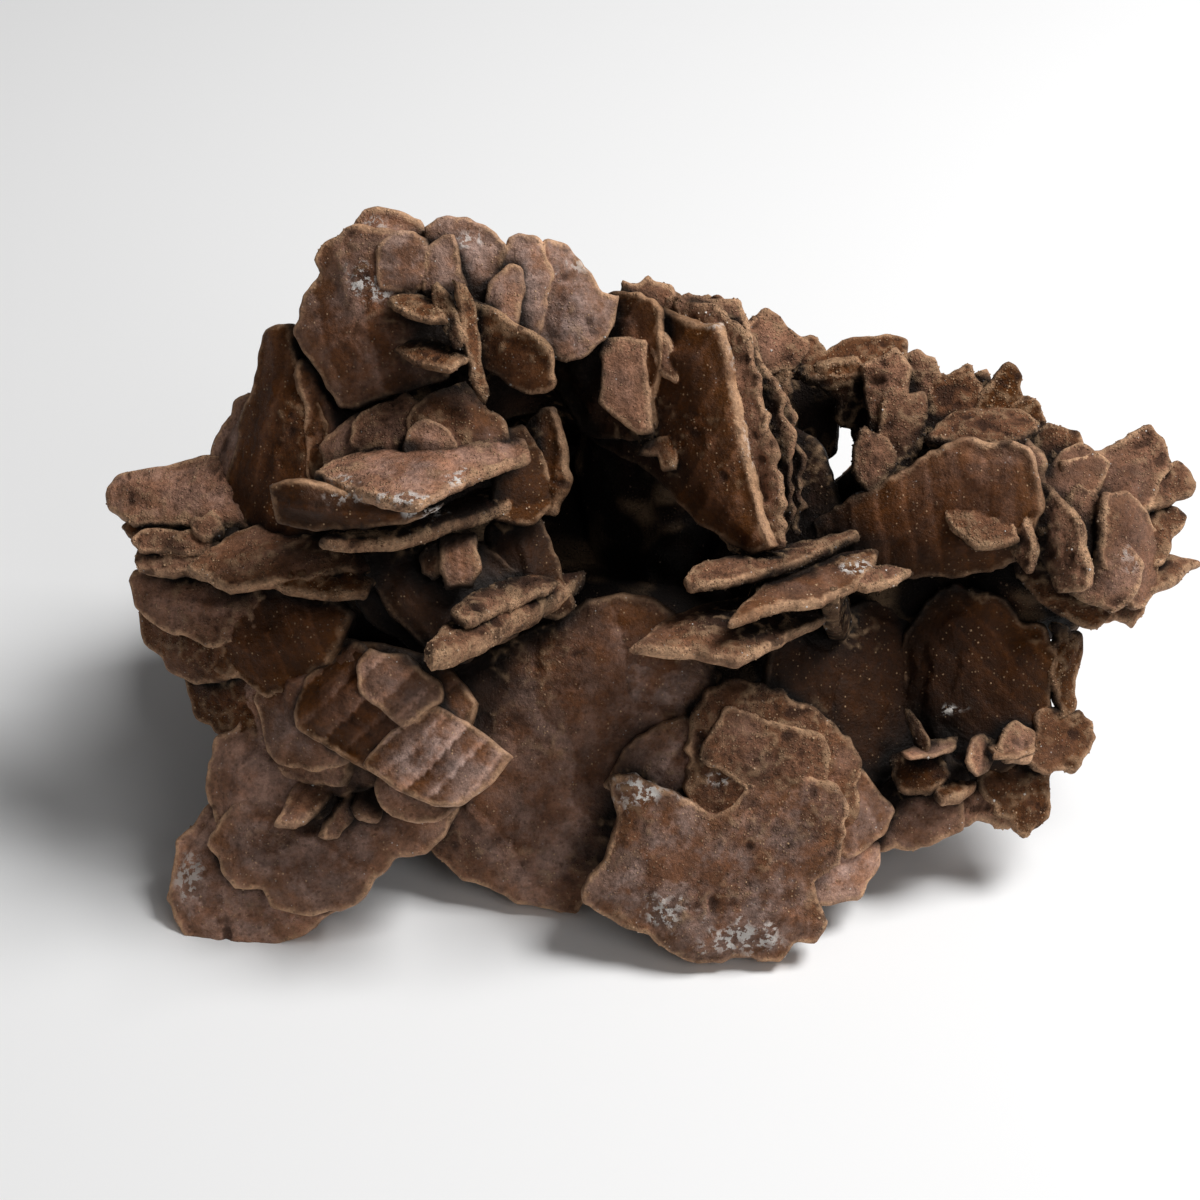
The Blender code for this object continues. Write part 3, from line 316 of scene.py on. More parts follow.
print(len(PENTAGON), "blades: pentagon plates")

# %% [markdown]
# ### Middle
# Thick sandy lenses lie almost flat here, over smooth grey plates.

# %% Middle
MIDDLE = [
    ("big lens", -14.2, -5, 60, 3.2,
     [(-39, 16.6), (-36, 18.3), (-30, 20.5), (-26, 21.6), (-22, 22.8), (-18.9, 22.2), (-14.3, 22.2),
      (-9.8, 21.2), (-9.2, 19), (-12, 18), (-16.6, 16.2), (-20, 14.4), (-24.3, 12.4), (-28, 12.6),
      (-33, 14.2)]),
    ("big lens front", -18.2, -8, -10, 5.0,
     [(-44.8, 15.6), (-41, 16.6), (-38.5, 16.2), (-33, 14.6), (-28, 13.2), (-24, 12.6), (-21, 13.2),
      (-22, 11.6), (-24.3, 10.9), (-30, 9.6), (-36.6, 9.3), (-43.4, 10.2)]),
    ("thin lens", -12, -5, 64, 3.0,
     [(-38, 7.5), (-35, 9.5), (-28, 10.6), (-22, 11.8), (-17, 14.2), (-11, 15), (-9.6, 14),
      (-12, 12.5), (-16, 10.9), (-20, 9.8), (-23, 8.4), (-28, 7), (-34, 6.8)]),
    ("square blade", -9, 5, 8, 3.4,
     [(-21.6, 8.6), (-19, 9.2), (-16.8, 9.2), (-16.2, 4), (-17.4, 1.8), (-20.8, 1.2), (-21.7, 4)]),
    ("grey plate", -5, 8, 0, 4.0,
     [(-33, 5.7), (-30.5, 7.2), (-25, 8.5), (-16, 8), (-9, 2), (-11, -5), (-22, -8), (-26, -4.2),
      (-28.7, -2.3), (-30.8, 1.8), (-31.8, 3.2)]),
    ("grey plate behind", -2.5, 8, 0, 3.5,
     [(-32.8, 5), (-33.1, -0.6), (-31, -2.9), (-28, -5.1), (-25, -7), (-18, -9), (-14, -3),
      (-18, 6)]),
    ("centre strip", -7, 22, 0, 3.5,
     [(-14.5, 22), (-13, 23.2), (-10.5, 23.7), (-8, 20), (-6, 14), (-9, 10), (-14.5, 11)]),
    ("centre point", -4.5, -32, 0, 3.0,
     [(-10.4, 23), (-8.5, 25.7), (-6, 26.3), (-4.5, 21), (-4, 16), (-6, 11), (-10, 13)]),
    ("centre slab", -1, 15, 0, 5.5,
     [(-15.5, 10), (-12, 12.6), (-9.5, 13.6), (-8, 11), (-6.6, 7.5), (-5, 3), (-3, -1), (-6, -3),
      (-13, -1), (-15, 5)]),
    ("sandy lens", -8.6, 18, 56, 5.4,
     [(-23.8, -6.8), (-20, -2.9), (-17.8, -0.5), (-15, 1), (-11, 1.8), (-2.4, 3.1), (-1.8, 2.2),
      (-5, 0), (-9, -2.6), (-15, -6), (-20, -8.1), (-22.8, -8.7)]),
    ("sandy lens sheet", -9.5, 18, 59, 2.4,
     [(-20.5, -1.8), (-17, 0.9), (-13, 2.4), (-9, 2.9), (-5.5, 2), (-9, 0), (-14, -2), (-18, -3.6)]),
    ("orange chip", -8.6, -14, 6, 2.0,
     [(-24.4, 6.2), (-22.6, 8.2), (-21.6, 8), (-21.4, 3.4), (-22.6, 2.4), (-24.2, 3.6)]),
]
print(len(MIDDLE), "blades: middle")

# %% [markdown]
# ### Wall
# A steep slab walls the central hollow, with thin sheets behind it like pages.

# %% Wall
WALL = [
    ("wall slab", -3, -35, -5, 5.5,
     [(-5, 40), (-3, 41), (5, 41.5), (8, 39.8), (14, 37.5), (16.5, 37.6), (18, 34), (19.2, 27.5),
      (20.7, 19), (22.2, 12), (24.2, 7.2), (21, 6), (14, 10), (7, 17.5), (-2, 22), (-6.2, 29),
      (-6.2, 34)]),
    ("wall lobe", -1.1, -35, -5, 3.0,
     [(-5, 40.2), (-2, 41.2), (5.2, 41.6), (8.4, 39.5), (9, 33), (7, 22), (-1, 22), (-3.7, 25),
      (-6.3, 29), (-6.3, 35)]),
    ("wall square", -5.6, -10, -2, 2.6,
     [(-0.2, 33.4), (0.6, 35.4), (4.2, 35.6), (6.2, 35), (6.8, 30), (7.3, 22.6), (5.2, 22.4),
      (1.8, 24.4), (-0.4, 26.8), (-0.1, 30)]),
    ("wall chip high", -6.5, -20, 0, 2.8,
     [(6.6, 36), (8.6, 36.2), (10.7, 33.7), (11.4, 30.8), (10.8, 29), (8.6, 29.8), (7, 33)]),
    ("page first", -6.9, -35, -5, 2.6,
     [(4, 40), (10, 41), (16, 39.6), (20, 36.5), (21.3, 33), (22.7, 27), (24.2, 19), (25.2, 12),
      (24.7, 6.8), (18, 6), (10, 20)]),
    ("page second", -4.6, -35, -5, 2.4,
     [(8, 40), (16, 41), (19.7, 38.2), (21.6, 34.8), (23.2, 30), (25.2, 26), (26.7, 22),
      (26.7, 15), (25.7, 7.8), (20, 8), (12, 25)]),
    ("page third", -2.4, -35, -5, 2.4,
     [(12, 41), (18, 40.9), (21.9, 34), (24.4, 28.5), (26.7, 23.5), (27.5, 20), (28, 16),
      (27.7, 12.5), (26.7, 8.9), (21, 10), (14, 28)]),
    ("top crumb left", -2, 0, 0, 3.0,
     [(2.5, 41), (3, 43.1), (4.6, 42.9), (6.5, 43.9), (7.3, 43.2), (9.7, 42.8), (11, 39), (4, 37)]),
    ("top crumb right", -4, 0, 0, 3.0,
     [(10, 40), (12, 42), (14.5, 41), (18, 41), (19.4, 40.4), (20, 36), (12, 36)]),
    ("wall chip low", -5.2, -20, 10, 2.0,
     [(4.8, 19.4), (6.2, 21.2), (10.6, 23.1), (11, 22), (10.4, 17.6), (8.4, 17.4), (8, 19.8)]),
]
print(len(WALL), "blades: wall")

# %% [markdown]
# ### Thin blades
# Three thin blades cross the hollow.

# %% Thin blades
THIN_BLADES = [
    ("thin blade high", -8, 5, 62, 2.4,
     [(11, 2.6), (12.5, 4.1), (17, 5.4), (24, 6.8), (30, 8.1), (34, 9), (34.8, 8.2), (32, 6.6),
      (28, 4.8), (24, 3.5), (17, 2), (12, 1.5)]),
    ("thin blade middle", -10, 5, 60, 2.6,
     [(17.3, -3.5), (20, -0.2), (23, 2.2), (28, 4), (33, 6), (37.5, 6.3), (37, 3.6), (34, 1),
      (30, -0.8), (25, -1.2), (21, -2.6)]),
    ("thin blade low", -10, 8, 58, 3.0,
     [(3.6, -7), (7, -4.6), (10, -2.5), (15, -1), (20, 0), (26, 0), (32, -1), (30.5, -2.8),
      (26, -5.2), (22, -7.4), (18.5, -8.8), (12, -7.7)]),
    ("thin blade end", -6, 10, 58, 2.2,
     [(33.5, 2), (36, 4.2), (39, 4.5), (42.8, 3.8), (40, 2.2), (36, 1)]),
]
print(len(THIN_BLADES), "blades: thin blades")

# %% [markdown]
# ### Front
# The lowest front plates are the largest smooth faces of the stone.

# %% Front
FRONT = [
    ("front plate", 6, -4, -10, 5.5,
     [(-21.7, -9.2), (-14, -5.8), (-6, -2), (-2, 0), (3, 1.1), (6.4, 1), (11, -2), (16, -10),
      (14, -18), (7, -25), (4, -32), (0, -38), (-3, -42.2), (-11.2, -41.2),
      (-15, -38.8), (-18.5, -37.7), (-23, -33.5), (-26, -30), (-26, -20)]),
    ("front ledge", 1.5, -4, -10, 3.0,
     [(5, -6), (10, -6.8), (14.5, -7.6), (17.2, -10.4), (13, -15), (7, -17.2), (2, -15), (1, -9)]),
    ("front smooth lobe", 2, -6, -6, 4.0,
     [(4.6, -18), (9, -16.1), (12.2, -15), (17, -20), (16, -30), (6, -30), (0.5, -25), (3, -20)]),
    ("front lobe", 0.4, 2, -6, 5.5,
     [(1.4, -24), (5, -23.2), (12, -26.8), (15.5, -28.8), (18, -26.8), (20, -24.1), (25.5, -24),
      (27.5, -22.8), (32, -24.8), (33.6, -28), (33, -33), (32.6, -36), (29.2, -38), (29.6, -40.3),
      (31, -43.3), (29, -46.1), (26.2, -46.3), (24.3, -48.7), (18.2, -48.5), (13, -49.2),
      (8, -46.7), (3, -44), (-2.6, -41), (-1.9, -37), (0.1, -35), (2.3, -29.5)]),
    ("front cap", 1.2, 6, -4, 5.5,
     [(12, -15.8), (13.5, -13.3), (15, -11.5), (19, -10.4), (23, -11.6), (29, -14.6), (34, -18),
      (35.4, -22), (35.6, -25), (35, -31), (30, -37), (20, -36), (11.6, -29), (11.5, -22)]),
    ("front cap ledge", -1.4, 6, -4, 2.2,
     [(17, -14.6), (22, -15.8), (27, -17), (30, -18.4), (31.5, -21), (30, -26), (22, -27),
      (13.5, -21)]),
    ("front lobe right", 4, 18, 0, 4.0,
     [(33, -21), (35.6, -22.8), (38.7, -26.4), (39.9, -28.5), (37.8, -31.8), (33, -35), (27, -28)]),
    ("front lobe low", 5, 18, 0, 4.0,
     [(30, -30), (33.3, -30.5), (37.7, -32.3), (38.2, -34.2), (35.9, -38.3), (34.7, -40.7),
      (30.7, -41.6), (24, -40), (24, -33)]),
]
print(len(FRONT), "blades: front")

# %% [markdown]
# ### Right hollow
# On the right a shallow hollow has a ragged rim of small blades.

# %% Right hollow
RIGHT_HOLLOW = [
    ("right dark plate", 8, -10, -4, 4.5,
     [(44, 0), (46, 1.7), (48, 2.4), (52.5, 1.5), (55, 0.2), (57, -2.8), (60, -3.3), (62.4, -8),
      (61.5, -13), (60, -20), (52, -25), (43, -24), (40, -14), (41, -4)]),
    ("right inner plate", 10, 24, 0, 4.0,
     [(35, 0), (41, 0), (45, -5), (46, -15), (43, -26), (33, -28), (27, -18), (29, -6)]),
    ("right far plate", 8, 34, 0, 3.5,
     [(24, 0), (30, -1.5), (37, 0), (39, -3), (39, -10), (35, -20), (28, -24), (22, -14)]),
    ("rim upper", 7.5, 30, 0, 3.0,
     [(61, -3), (62.8, -3.3), (64.4, -5), (65.2, -8.8), (64.2, -10.4), (64.2, -15), (61.6, -17),
      (60.2, -10)]),
    ("rim right", 7, 20, 4, 3.0,
     [(60, -14.6), (63.5, -14.6), (66.1, -16.1), (67.5, -18.7), (65, -22.5), (61.3, -23.9),
      (57.6, -22.6), (58, -17.4)]),
    ("rim upright", 9, 10, 0, 3.5,
     [(56, -20), (61.6, -22.4), (61.5, -24), (60.8, -28.7), (58, -32.9), (56.8, -32.8),
      (53, -29), (51, -24)]),
    ("base left", 8, -10, 4, 4.5,
     [(37, -25), (40.5, -23), (46, -20), (50, -24), (49, -31), (45, -33.4), (42, -34), (37.8, -34),
      (34, -31)]),
    ("base right", 9.5, 5, 4, 4.5,
     [(44, -23), (50, -22), (56, -22), (58, -27), (55.2, -31.2), (53, -30.1), (50, -31.1),
      (47.5, -31.4), (42, -31)]),
    ("hollow block", 5.0, -10, 20, 3.0,
     [(39.4, -20.8), (41.5, -20.2), (46, -20.9), (47.6, -23.5), (45.5, -26.2), (41, -26.4),
      (39.4, -24)]),
    ("hollow petal first", 3.6, -44, 6, 1.0,
     [(41.2, -14.6), (42.6, -15.2), (44.6, -18.6), (44.2, -20.4), (42.4, -19.8), (41.6, -17.8)]),
    ("hollow petal second", 3.4, 8, 66, 1.0,
     [(40.6, -20.6), (43, -19.6), (45, -19), (48.6, -18.4), (48, -20.2), (45.4, -21), (42, -21.4)]),
    ("hollow petal third", 3.8, 46, 4, 1.2,
     [(49.4, -21.8), (50.4, -18.6), (52, -17.8), (53.8, -19.4), (52.6, -22.9), (50.8, -24.1)]),
    ("hollow petal fourth", 3.0, 12, 58, 1.0,
     [(52.2, -19.6), (54.4, -18.4), (58.6, -19.2), (59.2, -20.6), (56.2, -21.4), (53.2, -21.4)]),
    ("hollow leaf left", 3.5, 0, 52, 2.4,
     [(44.8, -26), (47, -24.6), (51, -24.6), (49, -27), (46, -27.6)]),
    ("hollow leaf right", 3.5, 20, 20, 2.4,
     [(53.3, -18), (53.3, -20.5), (55, -22), (58.2, -22.3), (59, -18), (56, -16)]),
]
print(len(RIGHT_HOLLOW), "blades: right hollow")

# %% [markdown]
# ### Right middle
# Two rounded plates stand over that hollow.

# %% Right middle
RIGHT_MIDDLE = [
    ("right plate front", 1.5, -16, -10, 4.5,
     [(28.5, 10.8), (33.8, 14.2), (40.5, 17.6), (44.6, 20.3), (48.6, 21.8), (54, 22), (58, 20.7),
      (59.6, 18), (60, 12), (58, 6.5), (53, 3.6), (46, 2.8), (40, 3), (35, 3.8), (31, 6.4)]),
    ("right plate behind", 5, -14, -4, 4.5,
     [(39, 17.4), (43, 20.2), (48, 21.7), (54, 22.7), (57.7, 22), (60, 20.3), (60.4, 17),
      (61, 10), (56, 5), (46, 5), (41, 9)]),
]
print(len(RIGHT_MIDDLE), "blades: right middle")

# %% [markdown]
# ### Spray
# At the far right small leaves spread like a spray.

# %% Spray
SPRAY = [
    ("spray leaf first", -1, -10, 30, 2.8,
     [(46, 13), (47.5, 14), (49.5, 14.2), (52, 13.5), (56, 11), (57, 8), (50.8, 6.6), (47.5, 9.5)]),
    ("spray leaf second", -1, -50, 0, 2.6,
     [(52.8, 16.2), (53.8, 17.4), (55.5, 15.7), (57.7, 11.5), (59.1, 7.5), (58, 3.5), (55.3, 7),
      (53, 12)]),
    ("spray leaf third", -1.5, -38, 0, 3.2,
     [(56.8, 14.8), (57.4, 16.9), (60.5, 15.8), (64.2, 12.8), (65.6, 9.5), (66.7, 4), (66.3, 1.5),
      (62, 1), (58.5, 7)]),
    ("spray sugar leaf", 1, -5, 5, 3.6,
     [(63.3, 14.8), (64.3, 16.1), (67, 14.7), (70.2, 10), (73.7, 4.5), (71.7, 0), (69, -2),
      (63, 1), (61, 9)]),
    ("spray curved rim", 3, 40, 0, 3.2,
     [(68, 14.5), (70.8, 15), (73.2, 12.4), (75.2, 8), (75.2, 5), (74.8, 0.8), (72, -1.5),
      (67, 6)]),
    ("spray orange leaf", 5, 0, 0, 3.6,
     [(56, 3), (59, 0.3), (61.5, -2), (65, -3.7), (67, -3.8), (71, -1), (72, 5), (64, 9),
      (56, 8)]),
    ("spray foot", 6, 10, 0, 3.2,
     [(66, -2), (68.5, -3.2), (71, -3.2), (71.9, -4), (74.2, -0.5), (75.2, 2), (72, 7), (65, 5)]),
    ("spray spike", 7, 10, 40, 2.8,
     [(69, 2), (75, 0.6), (81.3, 4.7), (76.6, 6.1), (72, 6.5)]),
    ("spray small leaf", 6.5, 15, 20, 3.0,
     [(70, 9), (73, 12), (75, 13.3), (77.7, 12.8), (79.7, 11), (77.5, 8), (76, 4.6), (71, 4)]),
    ("spray far leaf", 8, 10, 30, 3.0,
     [(71, 11), (80, 14), (80.6, 15.5), (78.6, 18.1), (77, 18.4), (71, 17)]),
    ("spray wedge", 5.5, 10, 5, 4.0,
     [(62, 19), (68, 20.7), (71.5, 22.8), (74.4, 23.8), (76, 21.5), (77.2, 18), (75, 13),
      (71, 8), (62, 11)]),
    ("spray upper leaf", 4, -5, 20, 3.2,
     [(58, 16), (61, 19), (62.5, 20.6), (65, 21.1), (69.5, 18.5), (66, 11), (59, 11)]),
    ("spray knob", 8, 0, 10, 3.6,
     [(54, 20), (58.5, 23), (60.3, 24.1), (62.5, 23.4), (64.7, 22.6), (65.5, 20.4), (62, 15),
      (54, 15)]),
]
print(len(SPRAY), "blades: spray")

# %% [markdown]
# ### Top right
# Crumbly little blades cover the top right, with gaps that show daylight.

# %% Top right
TOP_RIGHT = [
    ("dark plate behind", 11, 10, -20, 3.5,
     [(29.4, 32), (35, 33), (38, 28), (39, 20), (40, 12), (35, 11), (34.4, 17), (34, 23),
      (31.6, 24.4), (31.6, 27), (28.7, 28.8)]),
    ("pillar", 6, -8, 0, 4.5,
     [(35, 32), (40, 33.9), (42.6, 31.2), (42, 28), (42, 20), (39, 14), (35.6, 17), (36.1, 26),
      (35.2, 28.5)]),
    ("pillar block", 5.5, 12, 0, 4.0,
     [(38, 28), (43.8, 28.1), (44.3, 25.5), (43.6, 20), (40, 16), (36.8, 22)]),
    ("knob", 3.5, 0, 0, 4.5,
     [(33.9, 20), (34.3, 22.6), (36, 23.9), (39.2, 22), (40, 17), (37, 13), (34.2, 17)]),
    ("top slab", 9, 0, 35, 3.2,
     [(30, 33.6), (33, 35.1), (38.5, 36), (41.6, 34.9), (42, 32), (36, 30), (28.6, 29.3),
      (26.3, 30.8)]),
    ("crumb first", 6, 20, 0, 3.2,
     [(18, 37), (20.5, 38.6), (22.5, 39.5), (24.3, 38.5), (27.9, 34.8), (26.5, 31), (20, 30)]),
    ("crumb second", 8.5, 10, 10, 3.0,
     [(24, 34.5), (26.5, 35.6), (28.5, 35.8), (31, 33), (29, 29.4), (24, 30.5)]),
    ("crumb third", 7, -10, 0, 3.5,
     [(19, 35), (24.9, 35.9), (26.4, 30.5), (25.3, 26), (27, 20), (23, 16), (18, 26)]),
    ("crumb fourth", 9, 0, 0, 3.4,
     [(40.5, 32), (41.5, 33.4), (43, 33.7), (45.5, 32.3), (46.6, 30.5), (45, 25), (40, 26)]),
    ("crumb plate", 9, 0, 8, 3.8,
     [(43.5, 29.5), (46.3, 30.9), (48.5, 31.2), (50, 31.4), (52.5, 28), (55, 26), (52, 20),
      (44, 21), (42, 26)]),
    ("pointed leaf", 8.5, 10, 0, 3.4,
     [(51.4, 27.6), (54, 31.2), (55.2, 32.5), (57, 30.4), (57.4, 28.2), (58, 21), (52, 20),
      (50, 25)]),
    ("end leaf", 9, 15, 0, 3.4,
     [(55, 27), (58.3, 28), (60.5, 24.3), (61, 18), (55, 18), (53, 23)]),
    ("edge-on leaf", 4.5, 0, 50, 3.2,
     [(44, 21.4), (46.4, 24.3), (51, 25.6), (56.8, 25.2), (59.1, 23.4), (57.5, 21), (50, 20)]),
    ("hollow wall right", 12, -20, 0, 4.0,
     [(38, 24), (46, 28), (54, 25), (58, 16), (52, 8), (42, 8), (37, 14)]),
    ("hollow wall middle", 9.5, -30, 0, 4.0,
     [(19, 22), (25, 24), (30, 21), (32.4, 15), (33, 6), (26, 0), (18, 4)]),
    ("crumb point", 10.5, -20, 0, 3.0, [(49.8, 30.6), (52.4, 31.6), (53, 30.8), (52, 27), (48, 26)]),
]
print(len(TOP_RIGHT), "blades: top right")

# %% [markdown]
# ### Heart, ribs and back
# These are the lumps, ribs, plates and rows that carry the blades in front.

# %% Heart, ribs and back
# The sandy heart that all blades root in: centre and radii of each lump, in millimetres
HEART = [
    ((-8, 14, 14), (36, 20, 17)),
    ((-30, 19, 38), (16, 13, 26)),
    ((41, 17, 24), (22, 12, 17)),
    ((0, 32, 22), (30, 13, 19)),
    ((-39, 6, 12), (14, 14, 14)),
    ((60, 11, 33), (9, 7, 9)),
    ((8, 26, 38), (11, 10, 26)),
]

# Ribs stand edge-on to the view behind the blades and tie them to the heart:
# start and end as (u, v, depth), and the width
RIBS = [
    ((-26, 36, -9), (-27, 24, 20), 12),
    ((-27, 15, -14), (-28, 12, 12), 8),
    ((22, 2, -9), (22, -6, 26), 10),
    ((8, 28, -4), (8, 20, 30), 14),
    ((-50, 8, -1), (-40, 4, 22), 12),
    ((-44, -34, 4), (-34, -22, 22), 10),
    ((18, -30, 2), (10, -20, 20), 14),
    ((54, -14, 9), (46, -8, 24), 12),
    ((68, 8, 3), (56, 4, 24), 12),
    ((52, 26, 9), (46, 12, 30), 10),
    ((-22, 2, -7), (-22, 2, 14), 8),
    ((31, 1, -11), (33, -5, 22), 8),
]

# Broad plates that close the back: centre, direction it faces, direction of the long axis, length, width
BACK_PLATES = [
    ((-27, 26, 64), (0.0, 0.85, 0.5), (0.2, 0, 1), 34, 30),
    ((-9, 30, 56), (0.35, 0.85, 0.4), (-0.3, 0, 1), 30, 26),
    ((10, 34, 50), (0.1, 0.9, 0.45), (0.5, 0, 1), 32, 26),
    ((33, 34, 25), (0.2, 0.95, 0.3), (1, 0, 0.2), 32, 20),
    ((55, 26, 32), (0.5, 0.8, 0.35), (1, 0, 0.3), 28, 20),
    ((-44, 20, 30), (-0.6, 0.75, 0.2), (0.2, 0, 1), 28, 26),
    ((-4, 44, 28), (0.0, 0.95, 0.35), (1, 0, 0.3), 38, 30),
    ((-31, 38, 30), (-0.3, 0.9, 0.3), (0.6, 0, 1), 36, 28),
    ((20, 40, 16), (0.3, 0.9, 0.15), (1, 0, -0.2), 34, 24),
    ((-42, 28, 14), (-0.5, 0.85, 0.1), (1, 0, 0.2), 32, 22),
    ((50, 20, 14), (0.4, 0.85, 0.1), (1, 0, -0.1), 28, 20),
]

# Rows of blades that stand out of the back: centre x, y and height, reach in x and y, first and last
# bearing in degrees, number of blades, length, width, and how far they rise outwards in degrees
BACK_ROWS = [
    (2, 12, 8, 44, 33, 12, 172, 7, 34, 24, 5),
    (2, 14, 20, 50, 36, 14, 166, 5, 30, 24, 15),
    (-2, 16, 34, 42, 34, 18, 165, 5, 30, 24, 28),
    (-8, 18, 47, 34, 24, 25, 140, 4, 28, 22, 40),
    (-22, 18, 60, 20, 15, 50, 120, 2, 24, 18, 55),
]
print(len(HEART), "lumps,", len(RIBS), "ribs,", len(BACK_PLATES), "plates")

# %% [markdown]
# ## Noise
# Nothing on a stone repeats. The relief comes from value noise: a block of random numbers on a
# lattice, blended smoothly in between. It works on thousands of points at once, and a fixed seed
# gives the same stone on every run.

# %% Value noise
LATTICE = 32
LATTICE_BLOCK = np.random.default_rng(4).uniform(-1, 1, (LATTICE, LATTICE, LATTICE))


def noise(points, size, seed=0):
    """Smooth noise from -1 to 1 at each point, with bumps about this size in millimetres."""
    place = points / size + np.array([7.31, 3.77, 5.13]) * (seed + 1)
    cell = np.floor(place).astype(int)
    part = place - cell
    part = part * part * (3 - 2 * part)
    total = np.zeros(len(points))
    for corner in range(8):
        step = np.array([corner & 1, corner >> 1 & 1, corner >> 2 & 1])
        weight = np.prod(np.where(step, part, 1 - part), axis=1)
        x, y, z = ((cell + step) % LATTICE).T
        total += weight * LATTICE_BLOCK[x, y, z]
    return total


def ramp(values, start, end):
    """0 before start, 1 after end, and a smooth rise between them."""
    t = np.clip((values - start) / (end - start), 0, 1)
    return t * t * (3 - 2 * t)


trial = noise(np.random.default_rng(1).uniform(0, 50, (5000, 3)), 4)
print("noise runs from", trial.min().round(2), "to", trial.max().round(2))

# %% [markdown]
# ## Outlines
# The corners are joined by a smooth curve, and the curve is cut into even short steps. A little noise
# across the curve gives the scalloped, chipped rims that real blades have.

# %% From corners to a scalloped rim
def curve_through(corners, pull, per_side=8):
    """A closed curve through the corners (Catmull-Rom); with a small pull the corners stay sharp."""
    count = len(corners)
    made = []
    for i in range(count):
        p0, p1, p2, p3 = (corners[(i + k) % count] for k in (-1, 0, 1, 2))
        reach = np.linalg.norm(p2 - p1)
        m1 = (p2 - p0) / max(np.linalg.norm(p2 - p0), 1e-6) * reach * pull
        m2 = (p3 - p1) / max(np.linalg.norm(p3 - p1), 1e-6) * reach * pull
        for k in range(per_side):
            t = k / per_side
            made.append((2 * t ** 3 - 3 * t ** 2 + 1) * p1 + (t ** 3 - 2 * t ** 2 + t) * m1
                        + (3 * t ** 2 - 2 * t ** 3) * p2 + (t ** 3 - t ** 2) * m2)
    return np.array(made)


def even_steps(curve, step):
    """The closed curve cut into equal steps of about this length."""
    closed = np.vstack([curve, curve[:1]])
    lengths = np.linalg.norm(np.diff(closed, axis=0), axis=1)
    along = np.concatenate([[0], np.cumsum(lengths)])
    count = max(12, int(along[-1] / step))
    stations = np.linspace(0, along[-1], count, endpoint=False)
    return np.column_stack([np.interp(stations, along, closed[:, k]) for k in (0, 1)])


def outward(ring):
    """Unit vectors that point out of an anticlockwise ring."""
    along = np.roll(ring, -1, axis=0) - np.roll(ring, 1, axis=0)
    across = np.column_stack([along[:, 1], -along[:, 0]])
    return across / np.maximum(np.linalg.norm(across, axis=1, keepdims=True), 1e-9)


def rim_of(corners, step, chips, seed, pull):
    """The blade's rim: a smooth curve with broad scallops and fine chips."""
    ring = even_steps(curve_through(corners, pull), step)
    area = np.sum(ring[:, 0] * np.roll(ring[:, 1], -1) - np.roll(ring[:, 0], -1) * ring[:, 1])
    if area < 0:
        ring = ring[::-1]
    spots = np.column_stack([ring, np.full(len(ring), seed * 9.7)])
    push = SCALLOP_DEPTH * min(chips, MOST_SCALLOPED) * noise(spots, SCALLOP_MM, seed)
    push += chips * (CHIP_DEPTH * noise(spots, CHIP_MM, seed + 5) - CHIP_LOSS)
    return ring + outward(ring) * push[:, None]


# How far the curve swings out at its corners, on rounded blades and on crisp ones
ROUND_PULL = 0.34
CRISP_PULL = 0.10
# Scallops and chips: their length along the rim and their depth in mm, and what the chips take off
SCALLOP_MM = 3.2
SCALLOP_DEPTH = 0.42
MOST_SCALLOPED = 1.6
CHIP_MM = 1.3
CHIP_DEPTH = 0.28
CHIP_LOSS = 0.12
square = rim_of(np.array([[0, 0], [10, 0], [10, 8], [0, 8]], float), 0.5, 1.0, 3, ROUND_PULL)
print("a trial rim has", len(square), "points")

# %% [markdown]
# ## One blade
# The rim is filled with an even net of triangles (a Delaunay triangulation), once for the upper and
# once for the lower face. The two faces part at the rim, rise over a rounded nose, and swell a little
# towards the middle, as a lens does. Growth steps run parallel to the rim, since the crystal grew
# outwards in layers. Every point remembers how far it lies from the rim, because the colour of the
# real blades changes there.

# %% Fill a rim with points
def inside(points, ring):
    """True for the points that lie inside the ring (crossings of a ray to the right)."""
    x, y = points[:, 0:1], points[:, 1:2]
    x1, y1 = ring[:, 0], ring[:, 1]
    x2, y2 = np.roll(x1, -1), np.roll(y1, -1)
    spans = (y1 > y) != (y2 > y)
    rise = np.where(y2 == y1, 1e-9, y2 - y1)
    return np.sum(spans & (x < (x2 - x1) * (y - y1) / rise + x1), axis=1) % 2 == 1


def distance_to(points, ring):
    """Distance of each point to the closed ring."""
    start = ring
    side = np.roll(ring, -1, axis=0) - ring
    squared = np.maximum(np.sum(side * side, axis=1), 1e-12)
    best = np.full(len(points), 1e9)
    for first in range(0, len(points), AT_ONCE):
        some = points[first:first + AT_ONCE, None, :] - start[None]
        share = np.clip(np.sum(some * side, axis=2) / squared, 0, 1)
        gap = np.linalg.norm(some - share[:, :, None] * side[None], axis=2)
        best[first:first + AT_ONCE] = gap.min(axis=1)
    return best


